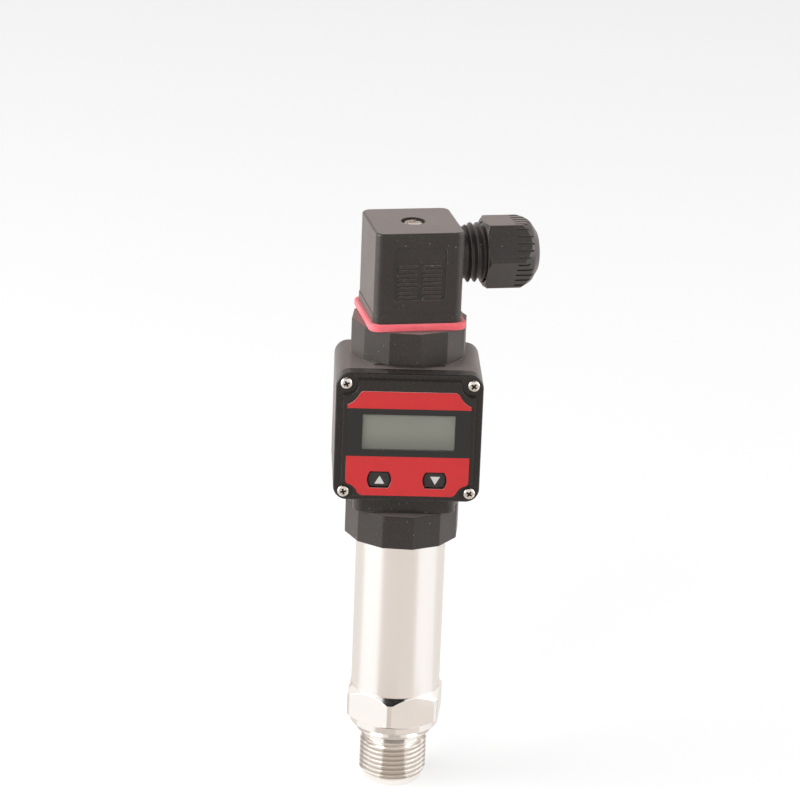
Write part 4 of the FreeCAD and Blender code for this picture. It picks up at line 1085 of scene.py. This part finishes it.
brass = metal("brass", (0.58, 0.40, 0.16, 1), (0.78, 0.58, 0.27, 1), 0.2, 0.38)
tin = metal("tin", (0.60, 0.59, 0.57, 1), (0.80, 0.79, 0.77, 1), 0.22, 0.4)
solder_mask = circuit_board()
rubber = moulded("rubber", (0.010, 0.010, 0.010, 1), 0.35, Grain_size=0.3 * MM, Roughness=0.62, Dust=0.3)
grey_plastic = moulded("grey_plastic", (0.055, 0.055, 0.058, 1), Roughness=0.46, Dust=0.4)
for node_name, material in (
        ("sensor_capsule", dull_steel), ("clamp_ring", dull_steel), ("sensor_oring", rubber),
        ("collar_oring", rubber), ("signal_board", solder_mask), ("lower_blades", tin),
        ("upper_blades", tin), ("lower_insert", brass), ("upper_insert", brass),
        ("head_core", black_nylon), ("socket_insert", grey_plastic), ("head_screw", nickel),
        ("lid_seal", silicone), ("display_board", solder_mask), ("tact_switches", grey_plastic),
        ("terminal_block", grey_plastic), ("wire_clamps", brass), ("terminal_screws", nickel),
        ("screw_seal", rubber), ("gland_grommet", rubber), ("gland_washer", black_nylon)):
    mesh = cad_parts[node_name].data
    mesh.materials.clear()
    mesh.materials.append(material)

# ---- studio ----
# A pale floor and sky, with soft lamps at both sides, in front and above. Warm boards lie in rings on
# the floor, one stands behind and a dark one hangs overhead. The boards show only in reflections.

STEM_CLEAR = 0.012
FLOOR_SIZE = 8.0
FLOOR_TONE = 0.42
FLOOR_GLOW = 0.57
SKY_LIGHT = 0.42
SKY_SHOWN = 0.58
SEEN = ("Is Camera Ray", "Is Glossy Ray", "Is Transmission Ray")
UNDERCUT_FROM = 0.0385
HEXAGON_FROM = 0.045
TUBE_FROM = 0.081
BOARDS_END = 2.0
LAMP_AIM = Vector((0, 0, 0.1))


def seen_as(tree, *rays):
    """One where the ray is of one of these kinds."""
    path = node(tree, "ShaderNodeLightPath").outputs
    total = path[rays[0]]
    for ray in rays[1:]:
        total = maths(tree, "MAXIMUM", total, path[ray])
    return total


def board(name, colour, spot):
    """Thin board that only reflections show; spot gives the place of each point from two shares."""
    deselect()
    bpy.ops.mesh.primitive_grid_add(x_subdivisions=18, y_subdivisions=1, size=1)
    piece = added(name)
    for point in piece.data.vertices:
        point.co = spot(point.co.x + 0.5, point.co.y + 0.5)
    material = bpy.data.materials.new(name)
    material.use_nodes = True
    tree = material.node_tree
    tree.nodes.clear()
    glow = node(tree, "ShaderNodeEmission", (("Color", (*colour, 1)),))
    out = node(tree, "ShaderNodeOutputMaterial")
    tree.links.new(glow.outputs[0], out.inputs["Surface"])
    piece.data.materials.append(material)
    piece.visible_camera = False
    piece.visible_diffuse = False
    piece.visible_shadow = False
    piece.visible_transmission = False


def floor_arc(first, last, near, far):
    """Part of a ring on the floor, between two bearings from the front and two distances."""
    def spot(across, outwards):
        bearing = math.radians(first + (last - first) * across)
        distance = near + (far - near) * outwards
        return distance * math.sin(bearing), -distance * math.cos(bearing), 0.0006
    return spot


deselect()
bpy.ops.mesh.primitive_plane_add(size=FLOOR_SIZE)
floor = added("floor")
floor_paint = bpy.data.materials.new("floor_paint")
floor_paint.use_nodes = True
tree = floor_paint.node_tree
paint = tree.nodes["Principled BSDF"]
paint.inputs["Base Color"].default_value = (FLOOR_TONE, FLOOR_TONE, FLOOR_TONE, 1)
paint.inputs["Roughness"].default_value = 1.0
paint.inputs["Specular IOR Level"].default_value = 0.0
glow = node(tree, "ShaderNodeEmission", (
    ("Color", (1, 1, 1, 1)),
    ("Strength", maths(tree, "MULTIPLY", seen_as(tree, *SEEN), FLOOR_GLOW))))
both = node(tree, "ShaderNodeAddShader", ((0, paint.outputs[0]), (1, glow.outputs[0])))
tree.links.new(both.outputs[0], tree.nodes["Material Output"].inputs["Surface"])
floor.data.materials.append(floor_paint)

# The three thread boards are painted shade: darker rings close round the stem that show, in reflections,
# the floor's shadow there, which the floor's glow leaves out.
for name, first, last, near, far, colour in (
        ("thread_board", -34, 37, STEM_CLEAR, UNDERCUT_FROM, (0.60, 0.55, 0.51)),
        ("thread_side_left", -180, -98, STEM_CLEAR, UNDERCUT_FROM, (0.66, 0.60, 0.56)),
        ("thread_side_right", 98, 180, STEM_CLEAR, UNDERCUT_FROM, (0.66, 0.60, 0.56)),
        ("undercut_board", -36, 40, UNDERCUT_FROM, HEXAGON_FROM, (0.0, 0.0, 0.0)),
        ("hexagon_board_left", -46, 2, HEXAGON_FROM, TUBE_FROM, (0.69, 0.64, 0.60)),
        ("hexagon_board_right", 2, 62, HEXAGON_FROM, TUBE_FROM, (0.84, 0.79, 0.75)),
        ("tube_board", -46, 44, TUBE_FROM, BOARDS_END, (0.78, 0.73, 0.685)),
        ("back_board_left", -180, -104, UNDERCUT_FROM, BOARDS_END, (0.84, 0.81, 0.78)),
        ("back_board_right", 104, 180, UNDERCUT_FROM, BOARDS_END, (0.84, 0.81, 0.78))):
    board(name, colour, floor_arc(first, last, near, far))
board("far_board", (0.50, 0.44, 0.42),
      lambda across, up: (2.4 * across - 1.2, 1.6, 0.35 + 1.1 * up))
board("overhead_board", (0.02, 0.02, 0.02),
      lambda across, back: (0.84 * across - 0.42, 1.05 * back - 0.9, 1.1))

world = bpy.context.scene.world or bpy.data.worlds.new("world")
bpy.context.scene.world = world
world.use_nodes = True
tree = world.node_tree
tree.nodes.clear()
shown = seen_as(tree, *SEEN)
sky = node(tree, "ShaderNodeBackground", (
    ("Color", (1, 1, 1, 1)), ("Strength", maths(tree, "MULTIPLY_ADD", shown, SKY_SHOWN, SKY_LIGHT))))
out = node(tree, "ShaderNodeOutputWorld")
tree.links.new(sky.outputs[0], out.inputs["Surface"])


def lamp(name, place, size, power, mirrored):
    """Large soft lamp; a mirrored one also shows in reflections."""
    light = bpy.data.lights.new(name, "AREA")
    light.shape = "DISK"
    light.size = size
    light.energy = power
    stand = bpy.data.objects.new(name, light)
    bpy.context.collection.objects.link(stand)
    stand.location = place
    stand.rotation_euler = (LAMP_AIM - Vector(place)).to_track_quat("-Z", "Y").to_euler()
    stand.visible_glossy = mirrored


lamp("left_lamp", (-1.25, -0.25, 0.42), 1.3, 25, True)
lamp("right_lamp", (1.25, -0.15, 0.42), 1.3, 12, True)
lamp("front_lamp", (-0.8, -1.5, 1.3), 0.9, 10, False)
lamp("top_lamp", (0.0, 0.4, 1.9), 1.2, 3, False)

AZIMUTH = -0.046
ELEVATION = 0.340
ROLL = 0.0386
DISTANCE = 1.095
AIM = Vector((-0.00144, 0.0080, 0.11739))
forward = Vector((-math.sin(AZIMUTH) * math.cos(ELEVATION), math.cos(AZIMUTH) * math.cos(ELEVATION),
                  -math.sin(ELEVATION)))
lens = bpy.data.cameras.new("camera")
lens.sensor_width = 36
lens.lens = 167.4
lens.clip_end = 30
camera = bpy.data.objects.new("camera", lens)
bpy.context.collection.objects.link(camera)
camera.location = AIM - forward * DISTANCE
camera.rotation_mode = "QUATERNION"
camera.rotation_quaternion = forward.to_track_quat("-Z", "Y") @ Quaternion((0, 0, 1), ROLL)
bpy.context.scene.camera = camera
bpy.context.scene.view_settings.view_transform = "Standard"
